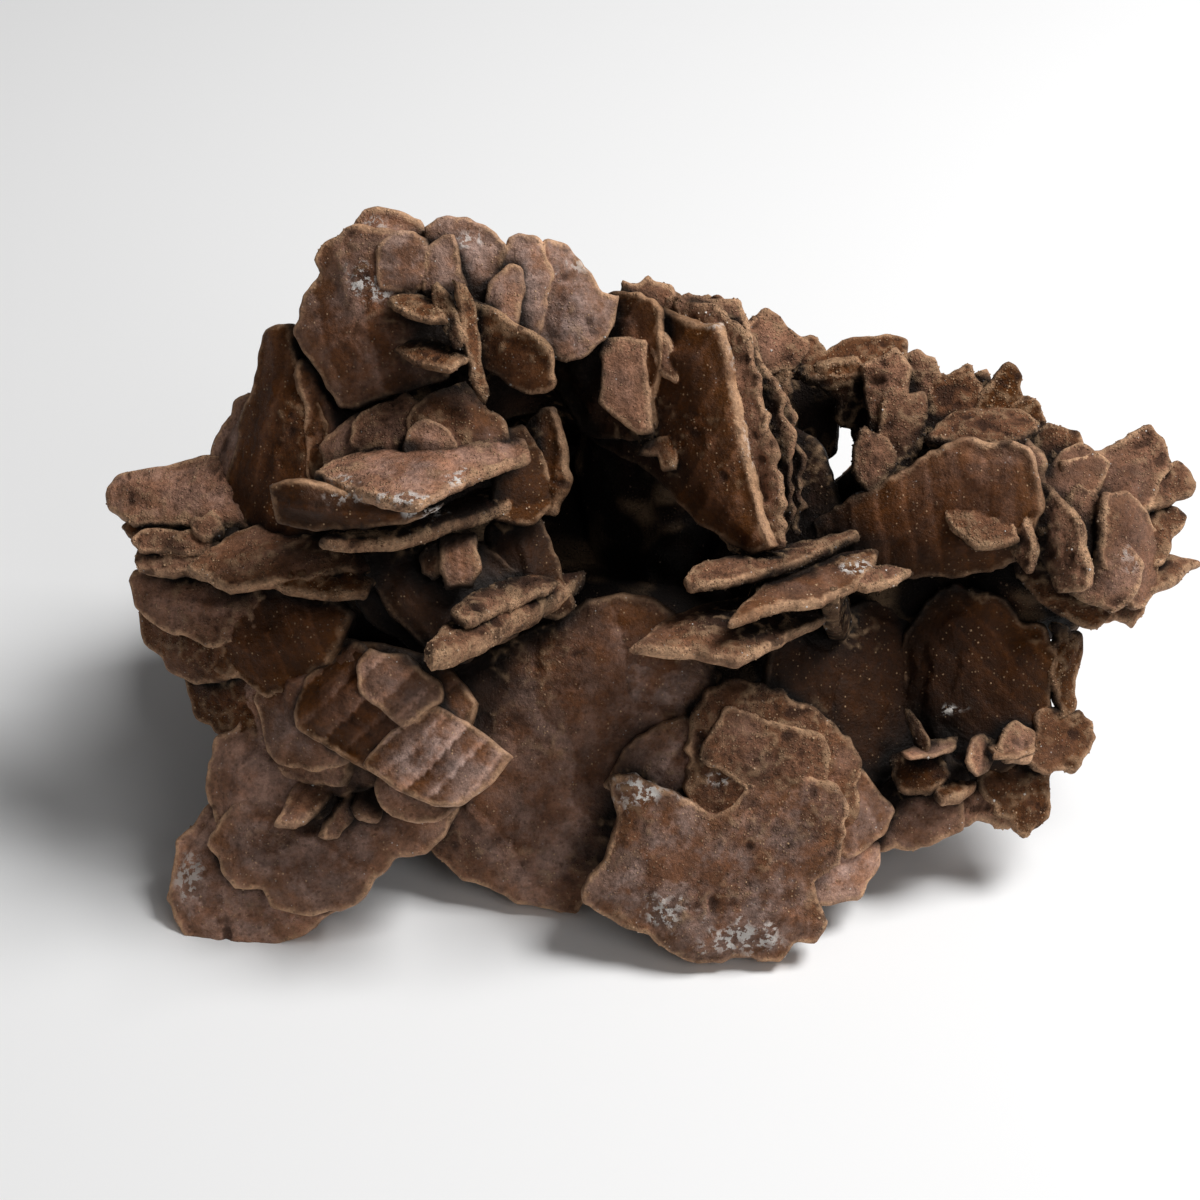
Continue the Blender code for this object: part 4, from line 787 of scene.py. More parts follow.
def net_inside(ring, step, seed):
    """Points and triangles of an even net inside the ring, closer together at the rim."""
    low, high = ring.min(axis=0), ring.max(axis=0)
    columns = np.arange(low[0], high[0], step)
    rows = np.arange(low[1], high[1], step * ROW_SHARE)
    grid_x, grid_y = np.meshgrid(columns, rows)
    grid_x = grid_x + (np.arange(len(rows)) % 2 * 0.5 * step)[:, None]
    inner = np.column_stack([grid_x.ravel(), grid_y.ravel()])
    inner += np.random.default_rng(seed).uniform(-JITTER, JITTER, inner.shape) * step
    inner = inner[inside(inner, ring)]
    inner = inner[distance_to(inner, ring) > NOSE_ROWS[-1] + 0.5 * step]
    parts = [ring, inner]
    normal = outward(ring)
    for row in NOSE_ROWS:
        offset = ring - normal * row
        offset = offset[inside(offset, ring)]
        parts.append(offset[distance_to(offset, ring) > 0.9 * row])
    points = np.vstack(parts)
    border = list(range(len(ring)))
    made = delaunay_2d_cdt([Vector(p) for p in points], [], [border], 1, 1e-5)
    return np.array([tuple(v) for v in made[0]]), np.array(made[2], int)


# Distances are measured for this many points at once, to save memory
AT_ONCE = 2000
# Rows of the net lie this share of a step apart, and its points stray by this share of a step
ROW_SHARE = 0.87
JITTER = 0.18
# Rows of points just inside the rim, in mm from it
NOSE_ROWS = (0.18, 0.5, 1.0)
spots, triangles = net_inside(square, 0.7, 1)
print("the trial rim holds", len(triangles), "triangles")

# %% Section and relief
def half_section(edge, half, taper_share, wander=0.0):
    """Half the thickness at each distance from the rim: a blunt nose, then a bevel."""
    nose = np.sqrt(1 - (1 - np.clip(edge / NOSE_MM, 0, 1)) ** 2)
    taper = np.clip((edge + wander) / TAPER_MM, 0, 1)
    rim = min(RIM_HALF_MM, 0.3 * half)
    return rim + (half - rim) * ((1 - taper_share) * nose + taper_share * taper)


def steps_of(edge, spots, seed):
    """Growth layers: low steps that follow the rim here and there, at uneven distances."""
    wander = 1.3 * noise(spots, 5.0, seed) + 0.5 * noise(spots, 2.0, seed + 3)
    dice = np.random.default_rng(seed)
    relief = np.zeros(len(edge))
    for k, place in enumerate((dice.uniform(1.2, 2.2), dice.uniform(3.5, 5.5), dice.uniform(7.0, 10.0))):
        height = dice.uniform(0.25, 0.60)
        present = ramp(noise(spots, 7.0, seed + 40 + k), -0.15, 0.15)
        relief += height * present * (ramp(edge + wander, place, place + 0.2) - 0.5)
    return relief * min(1.0, edge.max() / 7.0)


def slanting(angle):
    """A direction in the sight plane, in degrees upwards from the right."""
    return RIGHT * math.cos(math.radians(angle)) + UP * math.sin(math.radians(angle))


def clefts_of(spots, cleft):
    """Cleavage: straight low steps across a blade, one edge of each steep."""
    angle, pitch, height, seed = cleft
    place = spots @ np.array(slanting(angle)) / pitch + 0.25 * noise(spots, 6.0, seed)
    part = place - np.floor(place)
    depth = 0.5 + 0.5 * noise(np.floor(place)[:, None] * np.array([[3.1, 1.7, 2.3]]), 1.0, seed)
    return height * depth * (np.minimum(part / 0.9, (1 - part) / 0.1) - 0.5)


def bands_and_painted_step_light(spots, cleft):
    """Cleavage bands: each layer's own tone, painted light across each band, a painted highlight at each
    step.
    """
    angle, pitch, height, seed = cleft
    place = spots @ np.array(slanting(angle)) / pitch + 0.25 * noise(spots, 6.0, seed)
    part = place - np.floor(place)
    shade = noise(np.floor(place)[:, None] * np.array([[2.3, 4.1, 1.9]]), 1.0, seed + 2)
    return height * (0.5 * shade + 1.0 * (part - 0.5) + 0.6 * ramp(part, 0.72, 0.88))


def painted_light_fade_of(spots, fade):
    """Painted light and shade: a tone that changes evenly across the blade, along a direction in the sight
    plane.
    """
    angle, start, per_mm = fade
    along = slanting(angle)
    return (spots @ np.array(along) - VIEW_TARGET.dot(along) - start) * per_mm


def crumbs_of(spots, seed):
    """Lumps of cemented sand with creases between them."""
    coarse = 0.35 - np.abs(noise(spots, 2.1, seed + 13))
    fine = 0.35 - np.abs(noise(spots, 1.05, seed + 14))
    return 0.55 * coarse + 0.45 * fine


def relief_of(edge, spots, sandy, cleft, seed):
    """What stands off the smooth section, in mm, the part of it that is grain, and where it is rough."""
    patches = 0.9 * noise(spots, 8.0, seed + 17) + 0.5 * noise(spots, 3.2, seed + 18) + 1.2 * (sandy - 0.42)
    rough = ramp(patches, -0.1, 0.45)
    waves = 0.12 * noise(spots, WAVE_MM, seed + 11) + 0.05 * noise(spots, RIPPLE_MM, seed + 12)
    folds = FOLD_DEPTH * (1 - sandy) * (0.3 - np.abs(noise(spots, FOLD_MM, seed + 21)))
    pits = -PIT_DEPTH * rough * np.maximum(noise(spots, PIT_MM, seed + 15) - 0.45, 0)
    grain = (0.09 + (0.25 + 0.40 * sandy) * rough) * crumbs_of(spots, seed) + pits
    grain += (0.03 + 0.05 * rough + 0.06 * sandy) * noise(spots, GRIT_MM, seed + 16)
    broad = waves + folds + steps_of(edge, spots, seed) * (1 - 0.6 * rough)
    broad += clefts_of(spots, cleft) * (1 - 0.9 * rough)
    return broad + grain, grain, rough


# Half the thickness at the rim, and how far in the nose and the bevel reach
RIM_HALF_MM = 0.30
NOSE_MM = 0.35
TAPER_MM = 4.5
# Sizes of the forms in the relief, from broad folds to grit, and the depth of folds and pits
FOLD_MM = 12.0
FOLD_DEPTH = 0.55
WAVE_MM = 6.5
RIPPLE_MM = 2.6
PIT_MM = 1.7
PIT_DEPTH = 0.7
GRIT_MM = 0.6
for edge in (0.0, 0.5, 1.0, 3.0, 8.0):
    print(edge, "mm in, a 5 mm plate is", round(2 * float(half_section(np.array([edge]), 2.5, 0.2)[0]), 2))

# %% From a row of the table to a closed blade
def frame_of(points, facing):
    """A middle point and two axes in the blade's plane."""
    middle = sum(points, Vector()) / len(points)
    across = RIGHT - facing * RIGHT.dot(facing)
    if across.length < 0.3:
        across = UP - facing * UP.dot(facing)
    across.normalize()
    return middle, across, facing.cross(across)


def blade_on(points, facing, thick, sandy, step, chips, cleft, seed, pull):
    """Points (mm) and triangles of one closed blade, and each point's rim distance, crest and sand."""
    middle, across, upward = frame_of(points, facing)
    corners = np.array([[(p - middle).dot(across), (p - middle).dot(upward)] for p in points])
    ring = rim_of(corners, min(step, RIM_STEP), chips, seed, pull)
    flat, faces = net_inside(ring, step, seed)
    edge = distance_to(flat, ring)
    middle, across, upward, away = (np.array(v) for v in (middle, across, upward, facing))
    on_plane = middle + flat[:, :1] * across + flat[:, 1:] * upward
    wander = 1.2 * noise(on_plane, 5.0, seed + 23) + 0.4 * noise(on_plane, 1.8, seed + 24)
    base = half_section(edge, thick / 2, TAPER_SHARE, wander * ramp(edge, 0.3, 1.5))
    fade = 0.25 + 0.75 * ramp(edge, 0.0, 0.9)
    bend = 0.30 * noise(on_plane, 9.0, seed + 31) + 0.08 * noise(on_plane, 3.5, seed + 32)
    broad, crest, rough = relief_of(edge, on_plane, sandy, cleft, seed)
    front = np.maximum(base + fade * broad, THINNEST)
    broad, under, rough_under = relief_of(edge, on_plane + OTHER_FACE, sandy, cleft, seed + 50)
    back = np.maximum(base + fade * broad, THINNEST)
    verts = np.vstack([on_plane + (bend + front)[:, None] * away, on_plane + (bend - back)[:, None] * away])
    count = len(flat)
    used = {}
    for a, b, c in faces:
        for pair in ((a, b), (b, c), (c, a)):
            used[pair] = used.get(pair, 0) + 1
    border = [pair for pair in used if (pair[1], pair[0]) not in used]
    sides = [(b, a, a + count) for a, b in border] + [(b, a + count, b + count) for a, b in border]
    tris = np.vstack([faces, faces[:, ::-1] + count, np.array(sides)])
    rough = np.concatenate([rough, rough_under])
    grainy = 0.55 * sandy + 0.45 * rough * (0.4 + 0.6 * sandy)
    return verts, tris, np.concatenate([edge, edge]), np.concatenate([crest, under]) / GRAIN_MM, grainy


def set_back(outline, depth, facing):
    """The outline carried along the sight rays to the blade's own plane."""
    mean_u = sum(u for u, v in outline) / len(outline)
    mean_v = sum(v for u, v in outline) / len(outline)
    anchor = sight_point(mean_u, mean_v, depth)
    points = []
    for u, v in outline:
        ray = VIEW_TARGET + RIGHT * u + UP * v - EYE
        points.append(EYE + ray * ((anchor - EYE).dot(facing) / ray.dot(facing)))
    return points


# How much of the thickness comes with the bevel, and the height that counts as a full crest
TAPER_SHARE = 0.55
GRAIN_MM = 0.25
# Longest step along a rim, least half thickness, and the shift that gives the back its own relief
RIM_STEP = 0.6
THINNEST = 0.12
OTHER_FACE = 40.0
name, depth, turn, tip, thick, outline = CROWN[0]
facing = facing_of(turn, tip)
corners = set_back(outline, depth, facing)
verts, tris, edge, crest, grainy = blade_on(corners, facing, thick, 0.2, 0.7, 1.0, (20, 3.0, 0.2, 1), 1,
                                            ROUND_PULL)
print(name, "has", len(tris), "triangles, and its middle is", edge.max().round(1), "mm from the rim")

# %% [markdown]
# ## Growing the blades together
# Single blades would look like stacked cards, so the blades of each region are united into one skin.
# The Manifold solver does this in a second for a hundred thousand triangles and keeps the values
# stored on the points. Points that it makes along a seam start without values, so they take the mean
# of their neighbours.

# %% Values carried by the points
# Distance from the rim in mm, crest or crease (also painted lighter and darker), how sandy, lighter or
# darker (partly painted light and shade), how glossy and how strong the painted sheen, how white with
# scuffs and painted glints
KEPT = ("edge", "crest", "sandy", "tone", "sheen", "pale", "known")


def mesh_with_values(title, verts, tris, values):
    """A mesh in metres with one number of each kind on every point."""
    mesh = bpy.data.meshes.new(title)
    mesh.vertices.add(len(verts))
    mesh.vertices.foreach_set("co", ((verts + np.array(SHIFT)) * MM).ravel())
    mesh.loops.add(len(tris) * 3)
    mesh.loops.foreach_set("vertex_index", tris.ravel().astype(np.int32))
    mesh.polygons.add(len(tris))
    mesh.polygons.foreach_set("loop_start", np.arange(0, len(tris) * 3, 3, dtype=np.int32))
    mesh.update(calc_edges=True)
    for kind in KEPT:
        layer = mesh.attributes.new(kind, "FLOAT", "POINT")
        layer.data.foreach_set("value", values[kind].astype(np.float32))
    return mesh


def scuffs_and_glints_on(verts, name):
    """White scuffs and painted glints on this blade: pale spots with ragged borders."""
    pale = np.zeros(len(verts))
    for where, u, v, depth, wide, high, strength in SCUFFS_AND_GLINTS:
        if where != name:
            continue
        middle = np.array(sight_point(u, v, depth))
        gap = verts - middle
        along = gap @ np.array(RIGHT) / wide
        rising = gap @ np.array(UP) / high
        reach = np.sqrt(along ** 2 + rising ** 2) + 0.6 * noise(verts, 2.4, 3) + 0.5 * noise(verts, 0.8, 4)
        pale = np.maximum(pale, strength * (1 - ramp(reach, 0.3, 1.1)))
    return pale


# Blade, place (u, v), depth, reach to the sides and upwards, and strength. Some are white crust, as low
# on the front lobe; those on the lens ridges, the middle thin blade and the wall slab's edges are
# painted glints and sheen on lit ridges
SCUFFS_AND_GLINTS = [
    ("crown plate", -31.5, 43.0, -9, 3.4, 2.6, 0.9),
    ("crown plate", -28.8, 41.0, -9, 1.6, 1.4, 0.8),
    ("big lens front", -23.6, 11.9, -19, 2.4, 0.9, 1.2),
    ("big lens front", -33.0, 14.0, -18, 4.0, 0.9, 0.6),
    ("big lens", -19.0, 16.2, -16, 2.2, 1.2, 1.1),
    ("big lens", -28.0, 13.6, -17, 6.0, 1.0, 0.8),
    ("big lens", -35.0, 16.0, -16, 3.0, 0.9, 0.6),
    ("thin lens", -24.2, 12.2, -13, 2.6, 1.0, 0.9),
    ("wall slab", 18.2, 33.0, -5, 1.1, 4.5, 0.45),
    ("wall slab", 20.0, 22.0, -4, 1.1, 5.0, 0.45),
    ("wall slab", 15.0, 37.0, -5, 2.5, 1.0, 0.4),
    ("shoulder lower", -2.6, 45.6, -10, 2.2, 1.2, 0.45),
    ("crown ridge", -18.0, 49.0, -12, 2.0, 1.0, 0.6),
    ("crown tip", -31.0, 51.0, -10, 2.4, 1.4, 0.45),
    ("front lobe", 7.0, -25.6, 1.5, 4.6, 2.6, 1.0),
    ("front lobe", 19.5, -45.0, 1.5, 5.5, 3.0, 0.9),
    ("front lobe", 9.0, -42.0, 1.5, 3.2, 3.6, 0.7),
    ("thin blade middle", 35.5, 4.4, -10, 2.0, 1.2, 1.0),
    ("foot back sheet", -55.5, -38.0, 7.5, 2.0, 4.5, 0.6),
    ("spray sugar leaf", 70.0, 9.0, 1, 3.0, 5.0, 0.5),
    ("right dark plate", 48.0, -14.8, 8, 1.8, 0.7, 1.0),
    ("front cap", 16.0, -24.0, 0, 2.0, 1.2, 0.5),
]


def values_for(edge, crest, grainy, tone, sheen, pale):
    """The numbers of one blade, spread over its points."""
    count = len(edge)
    flat = {"tone": tone, "sheen": sheen, "known": 1.0}
    values = {kind: np.zeros(count) + number for kind, number in flat.items()}
    values["edge"] = edge
    values["crest"] = crest
    values["sandy"] = grainy
    values["pale"] = pale
    return values


print(len(SCUFFS_AND_GLINTS), "scuffs on", len({row[0] for row in SCUFFS_AND_GLINTS}), "blades")

# %% Unite a region
def united(title, meshes):
    """One mesh from many closed ones, without what is buried inside."""
    scene = bpy.context.scene.collection
    first = bpy.data.objects.new(title, meshes[0])
    scene.objects.link(first)
    partners = bpy.data.collections.new("partners")
    scene.children.link(partners)
    for mesh in meshes[1:]:
        partners.objects.link(bpy.data.objects.new("partner", mesh))
    union = first.modifiers.new("union", "BOOLEAN")
    union.operation = "UNION"
    union.solver = "MANIFOLD"
    union.operand_type = "COLLECTION"
    union.collection = partners
    bpy.context.view_layer.update()
    seen = first.evaluated_get(bpy.context.evaluated_depsgraph_get())
    result = bpy.data.meshes.new_from_object(seen)
    result.name = title
    for partner in list(partners.objects):
        bpy.data.objects.remove(partner)
    bpy.data.collections.remove(partners)
    bpy.data.objects.remove(first)
    return result


def fill_seams(mesh):
    """Gives the new points along seams the mean of their neighbours' values."""
    count = len(mesh.vertices)
    pairs = np.empty(len(mesh.edges) * 2, np.int32)
    mesh.edges.foreach_get("vertices", pairs)
    a, b = pairs.reshape(-1, 2).T
    values = {}
    for kind in KEPT:
        values[kind] = np.empty(count, np.float32)
        mesh.attributes[kind].data.foreach_get("value", values[kind])
    known = values["known"] > 0.5
    lost = int((~known).sum())
    for _ in range(6):
        if known.all():
            break
        weight = np.bincount(a, known[b], count) + np.bincount(b, known[a], count)
        filled = ~known & (weight > 0)
        for kind in KEPT:
            total = (np.bincount(a, known[b] * values[kind][b], count)
                     + np.bincount(b, known[a] * values[kind][a], count))
            values[kind][filled] = total[filled] / weight[filled]
        known = known | filled
    for kind in KEPT:
        mesh.attributes[kind].data.foreach_set("value", values[kind])
    return lost


def clean_cut(mesh):
    """Cuts the mesh flat at the floor and drops slivers."""
    bm = bmesh.new()
    bm.from_mesh(mesh)
    cut = bmesh.ops.bisect_plane(bm, geom=bm.verts[:] + bm.edges[:] + bm.faces[:], dist=1e-7,
                                 plane_co=(0, 0, 0), plane_no=(0, 0, -1), clear_outer=True)
    rim = [item for item in cut["geom_cut"] if isinstance(item, bmesh.types.BMEdge)]
    bmesh.ops.holes_fill(bm, edges=rim, sides=0)
    bmesh.ops.dissolve_degenerate(bm, edges=bm.edges, dist=0.01 * MM)
    bmesh.ops.triangulate(bm, faces=bm.faces)
    bm.to_mesh(mesh)
    bm.free()


# %% [markdown]
# ## From tables to regions
# Each table has its own finish: how sandy, how glossy and how strong its painted sheen, how fine its net
# is and how chipped its rims are. Blades that stand out from their neighbours have their own values in
# the lists below. The united regions overlap a little inside the stone, where nobody sees it.

# %% Make the blades of each region
def traced(table, sandy, sheen, step, chips):
    """Meshes of all blades of a table."""
    made = []
    for name, depth, turn, tip, thick, outline in table:
        seed = sum(ord(letter) for letter in name) % 97
        facing = facing_of(turn, tip)
        plain = (sandy, sheen, random.Random(seed).uniform(-0.5, 0.5))
        own_sandy, own_sheen, tone = SANDY_SHEEN_AND_SHADE.get(name, plain)
        cleft = CLEFTS.get(name, (seed * 37 % 180, CLEFT_PITCH, CLEFT_HEIGHT, seed))
        points = set_back(outline, depth, facing)
        own_chips = chips * CHIPPED.get(name, 1.0)
        pull = CRISP_PULL if name in CRISP else ROUND_PULL
        verts, tris, edge, crest, grainy = blade_on(points, facing, thick, own_sandy, step, own_chips,
                                                    cleft, seed, pull)
        # Cleavage bands add painted light across each band and a painted highlight along each step to the
        # tone
        tone = tone + bands_and_painted_step_light(verts, cleft) * (1 - own_sandy)
        # Fades add painted light and shade across the blade
        if name in PAINTED_LIGHT_FADES:
            tone = np.clip(tone + painted_light_fade_of(verts, PAINTED_LIGHT_FADES[name]), -1.0, 1.0)
        values = values_for(edge, crest, grainy, tone, own_sheen, scuffs_and_glints_on(verts, name))
        made.append(mesh_with_values(name, verts, tris, values))
    return made


# Distance and height of the cleavage steps on most blades, in mm
CLEFT_PITCH = 3.4
CLEFT_HEIGHT = 0.22
# Blades whose own finish differs from their table's: sandy, glossy with a painted sheen, and lighter
# or darker; the darkest tones, on plates in the hollows and under other blades, are painted shade
SANDY_SHEEN_AND_SHADE = {
    "crown plate": (0.25, 0.6, -0.2),
    "crown tip": (0.3, 1.0, 0.3),
    "crown lobe left": (0.25, 1.0, 0.2),
    "crown lobe right": (0.3, 0.8, 0.1),
    "crown ridge": (0.35, 0.9, 0.1),
    "shoulder upper": (0.35, 1.0, 0.2),
    "shoulder lower": (0.3, 1.0, 0.07),
    "pale plate": (0.4, 0.8, 0.4),
    "leaf high": (0.95, 0.1, -0.25),
    "leaf low": (0.95, 0.1, -0.25),
    "leaf upright": (1.0, 0.1, -0.1),
    "leaf long": (1.0, 0.1, -0.2),
    "leaf slanted": (0.8, 0.1, -0.3),
    "tall blade": (0.3, 0.2, -0.47),
    "tall blade inner": (0.3, 0.3, -0.3),
    "scallop top": (0.3, 0.1, -0.62),
    "scallop middle": (0.3, 0.5, 0.15),
    "pentagon plate": (0.1, 0.3, -0.43),
    "pentagon top sheet": (0.12, 0.9, 0.0),
    "pentagon small plate": (0.1, 0.5, 0.1),
    "pentagon lower tip": (0.3, 0.4, 0.4),
    "big lens": (0.75, 0.5, 0.5),
    "big lens front": (0.10, 0.7, -0.75),
    "thin lens": (0.85, 0.2, -0.1),
    "square blade": (0.5, 0.3, 0.0),
    "grey plate": (0.2, 0.6, -1.0),
    "grey plate behind": (0.3, 0.4, -0.8),
    "centre strip": (0.4, 0.1, -0.7),
    "centre point": (0.4, 0.1, -0.5),
    "centre slab": (0.3, 0.0, -1.0),
    "sandy lens": (0.95, 0.1, 0.0),
    "sandy lens sheet": (0.95, 0.1, 0.1),
    "wall slab": (0.25, 0.2, -0.75),
    "rim upper": (0.8, 0.2, -0.5),
    "rim right": (0.8, 0.2, -0.2),
    "rim upright": (0.8, 0.2, -0.3),
    "spray leaf first": (0.9, 0.2, -0.1),
    "spray leaf second": (0.95, 0.2, 0.0),
    "spray leaf third": (0.9, 0.2, 0.1),
    "hollow block": (0.7, 0.1, -0.6),
    "stack slate high": (0.7, 0.2, 0.1),
    "stack slate low": (0.7, 0.2, 0.0),
    "stack second": (0.7, 0.2, -0.4),
    "wall lobe": (0.4, 0.2, -0.4),
    "wall square": (0.6, 0.2, 0.3),
    "wall chip high": (0.5, 0.2, 0.0),
    "front plate": (0.25, 0.5, -0.2),
    "front ledge": (0.3, 0.9, 0.0),
    "front smooth lobe": (0.2, 0.8, 0.0),
    "front lobe": (0.5, 1.0, -0.18),
    "front cap": (0.75, 0.5, -0.17),
    "front cap ledge": (0.75, 0.5, -0.1),
    "right dark plate": (0.3, 0.1, -1.0),
    "right inner plate": (0.3, 0.0, -1.0),
    "right far plate": (0.3, 0.0, -1.0),
    "right plate front": (0.35, 0.3, -0.40),
    "right plate behind": (0.5, 0.6, 0.3),
    "spray sugar leaf": (1.0, 0.5, 0.2),
    "hollow wall right": (0.5, 0.0, -0.8),
    "hollow wall middle": (0.5, 0.0, -0.8),
    "page first": (0.95, 0.1, 0.3),
    "page second": (1.0, 0.1, 0.5),
    "page third": (1.0, 0.1, 0.6),
    "foot small": (0.2, 0.4, 0.1),
    "stack top": (0.5, 0.4, 0.5),
    "thin blade middle": (0.7, 0.3, -0.2),
    "thin blade low": (0.7, 0.4, -0.1),
    "foot back sheet": (0.25, 0.6, 0.45),
    "foot front sheet": (0.25, 0.6, 0.02),
}
# Blades painted lighter towards one side and darker towards the other, as painted light and shade:
# its direction in degrees, where the change is nil, and the change per mm
PAINTED_LIGHT_FADES = {
    "right plate front": (90, 14.0, 0.04),
    "wall slab": (10, 14.0, 0.05),
    "front plate": (-60, 12.0, 0.012),
    "tall blade": (60, 0.0, 0.012),
    "grey plate": (90, 2.0, 0.05),
    "right dark plate": (45, 24.0, 0.03),
    "big lens front": (0, -32.0, 0.02),
    "scallop middle": (-60, 0.0, 0.015),
    "crown plate": (90, 40.0, 0.01),
}
# Blades whose outline keeps its corners
CRISP = {"pentagon plate", "pentagon top sheet", "pentagon small plate", "front plate", "front smooth lobe",
         "wall slab", "wall square", "square blade", "leaf high", "leaf low", "leaf long", "leaf upright",
         "thin blade high", "thin blade middle", "thin blade low", "thin blade end", "spray wedge",
         "spray spike", "pointed leaf", "big lens", "sandy lens", "thin lens", "tongue", "tongue leaf",
         "pillar", "pillar block", "wall chip high", "wall chip low"}
# Blades with a more ragged rim than their neighbours
CHIPPED = {"page first": 2.2, "page second": 2.6, "page third": 2.6, "front cap": 1.6, "rim upper": 2.2,
           "rim right": 2.0, "rim upright": 2.0, "base left": 1.6, "base right": 1.8, "crumb third": 1.8,
           "crumb plate": 1.8, "crumb fourth": 1.6, "pentagon top sheet": 0.6, "pentagon plate": 0.6,
           "front plate": 0.7, "wall slab": 0.6, "wall square": 0.6}
# Blades with marked cleavage: direction across the steps in degrees, distance and height of a step, seed
CLEFTS = {
    "pentagon plate": (-48, 3.4, 0.35, 3),
    "pentagon top sheet": (-48, 3.1, 0.80, 5),
    "pentagon small plate": (-48, 3.6, 0.50, 7),
    "front plate": (24, 13.0, 0.25, 2),
    "square blade": (5, 1.5, 0.45, 4),
    "stack plate": (-15, 5.0, 0.30, 9),
    "front smooth lobe": (-30, 4.0, 0.30, 6),
    "foot front sheet": (60, 7.0, 0.25, 8),
    "scallop middle": (-20, 6.0, 0.30, 9),
    "big lens front": (80, 3.0, 0.30, 2),
    "crown plate": (15, 6.0, 0.25, 4),
}

FRONT_STEP = 0.45
BACK_STEP = 0.8
print(len(SANDY_SHEEN_AND_SHADE), "blades have their own finish")

# %% [markdown]
# ## The heart, the ribs and the back
# The photograph shows one side only. Behind it a real sand rose goes on in the same way, so the back
# is grown by rule: rows of blades stand out of a sandy heart at several heights, and broad plates
# close the gaps. Ribs stand edge-on behind the front blades and tie them to the heart.

# %% Ribs, rows and plates by rule
def free_corners(centre, facing, along, length, width, dice, corners=6):
    """An uneven rounded outline about a long axis, anywhere in space."""
    along = (along - facing * along.dot(facing)).normalized()
    side = facing.cross(along)
    points = []
    for k in range(corners):
        angle = 2 * math.pi * (k + 0.3 * dice.random()) / corners
        reach = 0.88 + 0.24 * dice.random()
        offset = along * (math.cos(angle) * length / 2) + side * (math.sin(angle) * width / 2)
        points.append(centre + offset * reach)
    return points


def grown(rows, step, seed, darkest, lightest):
    """Meshes of blades given as (points, facing, thickness), with tones between the two limits."""
    made = []
    for k, (points, facing, thick) in enumerate(rows):
        dice = random.Random(seed + k)
        sandy = dice.uniform(0.45, 0.95)
        cleft = (dice.uniform(0, 180), CLEFT_PITCH, CLEFT_HEIGHT, k)
        verts, tris, edge, crest, grainy = blade_on(points, facing, thick, sandy, step, 1.0, cleft, seed + k,
                                                    ROUND_PULL)
        values = values_for(edge, crest, grainy, dice.uniform(darkest, lightest), dice.uniform(0.1, 0.6),
                            np.zeros(len(verts)))
        made.append(mesh_with_values("grown", verts, tris, values))
    return made


def rib_rows():
    """Outlines of the ribs."""
    dice = random.Random(5)
    rows = []
    for start, end, width in RIBS:
        a = sight_point(*start)
        b = sight_point(*end)
        along = b - a
        facing = along.cross(UP).normalized()
        rows.append((free_corners((a + b) / 2, facing, along, along.length * RIB_REACH, width, dice),
                     facing, RIB_THICK))
    return rows


def back_rows():
    """Outlines of the rows of blades and of the broad plates behind."""
    dice = random.Random(BACK_SEED)
    rows = []
    for x, y, height, reach_x, reach_y, first, last, count, length, width, rise in BACK_ROWS:
        for k in range(count):
            bearing = math.radians(first + (last - first) * (k + 0.4 * dice.random()) / (count - 0.6))
            outwards = Vector((math.cos(bearing), math.sin(bearing), 0.0))
            centre = Vector((x + outwards.x * reach_x, y + outwards.y * reach_y, height))
            lift = math.radians(rise + 20 * (dice.random() - 0.5))
            along = outwards * math.cos(lift) + Vector((0.0, 0.0, math.sin(lift)))
            level = outwards.cross(Vector((0.0, 0.0, 1.0))).normalized()
            facing = Quaternion(along, math.radians(20 + 140 * dice.random())) @ level
            size = 0.85 + 0.3 * dice.random()
            corners = free_corners(centre, facing, along, length * size, width * size, dice)
            rows.append((corners, facing, BACK_THICK))
    for centre, facing, along, length, width in BACK_PLATES:
        facing = Vector(facing).normalized()
        corners = free_corners(Vector(centre), facing, Vector(along), length, width, dice, 9)
        rows.append((corners, facing, PLATE_THICK))
    return rows


RIB_REACH = 1.1
RIB_THICK = 4.0
BACK_THICK = 4.0
PLATE_THICK = 5.0
BACK_SEED = 11
print(len(rib_rows()), "ribs and", len(back_rows()), "blades behind")

# %% [markdown]
# The heart itself is hardly seen. It is made of lumps of cemented sand: spheres stretched to size,
# with noise that pushes their points in and out.

# %% The sandy heart
def lump_meshes():
    """Meshes of the lumps, rough as cemented sand."""
    made = []
    for centre, radii in HEART:
        bm = bmesh.new()
        bmesh.ops.create_icosphere(bm, subdivisions=LUMP_LEVELS, radius=1.0)
        verts = np.array([v.co for v in bm.verts]) * np.array(radii) + np.array(centre)
        tris = np.array([[v.index for v in face.verts] for face in bm.faces])
        bm.free()
        away = (verts - np.array(centre)) / np.array(radii) ** 2
        away /= np.linalg.norm(away, axis=1, keepdims=True)
        rough = 0.8 * noise(verts, 7.0, 20) + 0.5 * noise(verts, 3.0, 21) + 0.3 * noise(verts, 1.6, 22)
        verts = verts + away * rough[:, None]
        far = np.full(len(verts), NO_RIM_MM)
        values = values_for(far, rough, np.ones(len(verts)), LUMP_TONE, 0.0, np.zeros(len(verts)))
        made.append(mesh_with_values("lump", verts, tris, values))
    return made


LUMP_LEVELS = 5
LUMP_TONE = -0.8
# A lump has no rim, so its points say that they lie far from one
NO_RIM_MM = 9.0
print(len(HEART), "lumps make the heart")

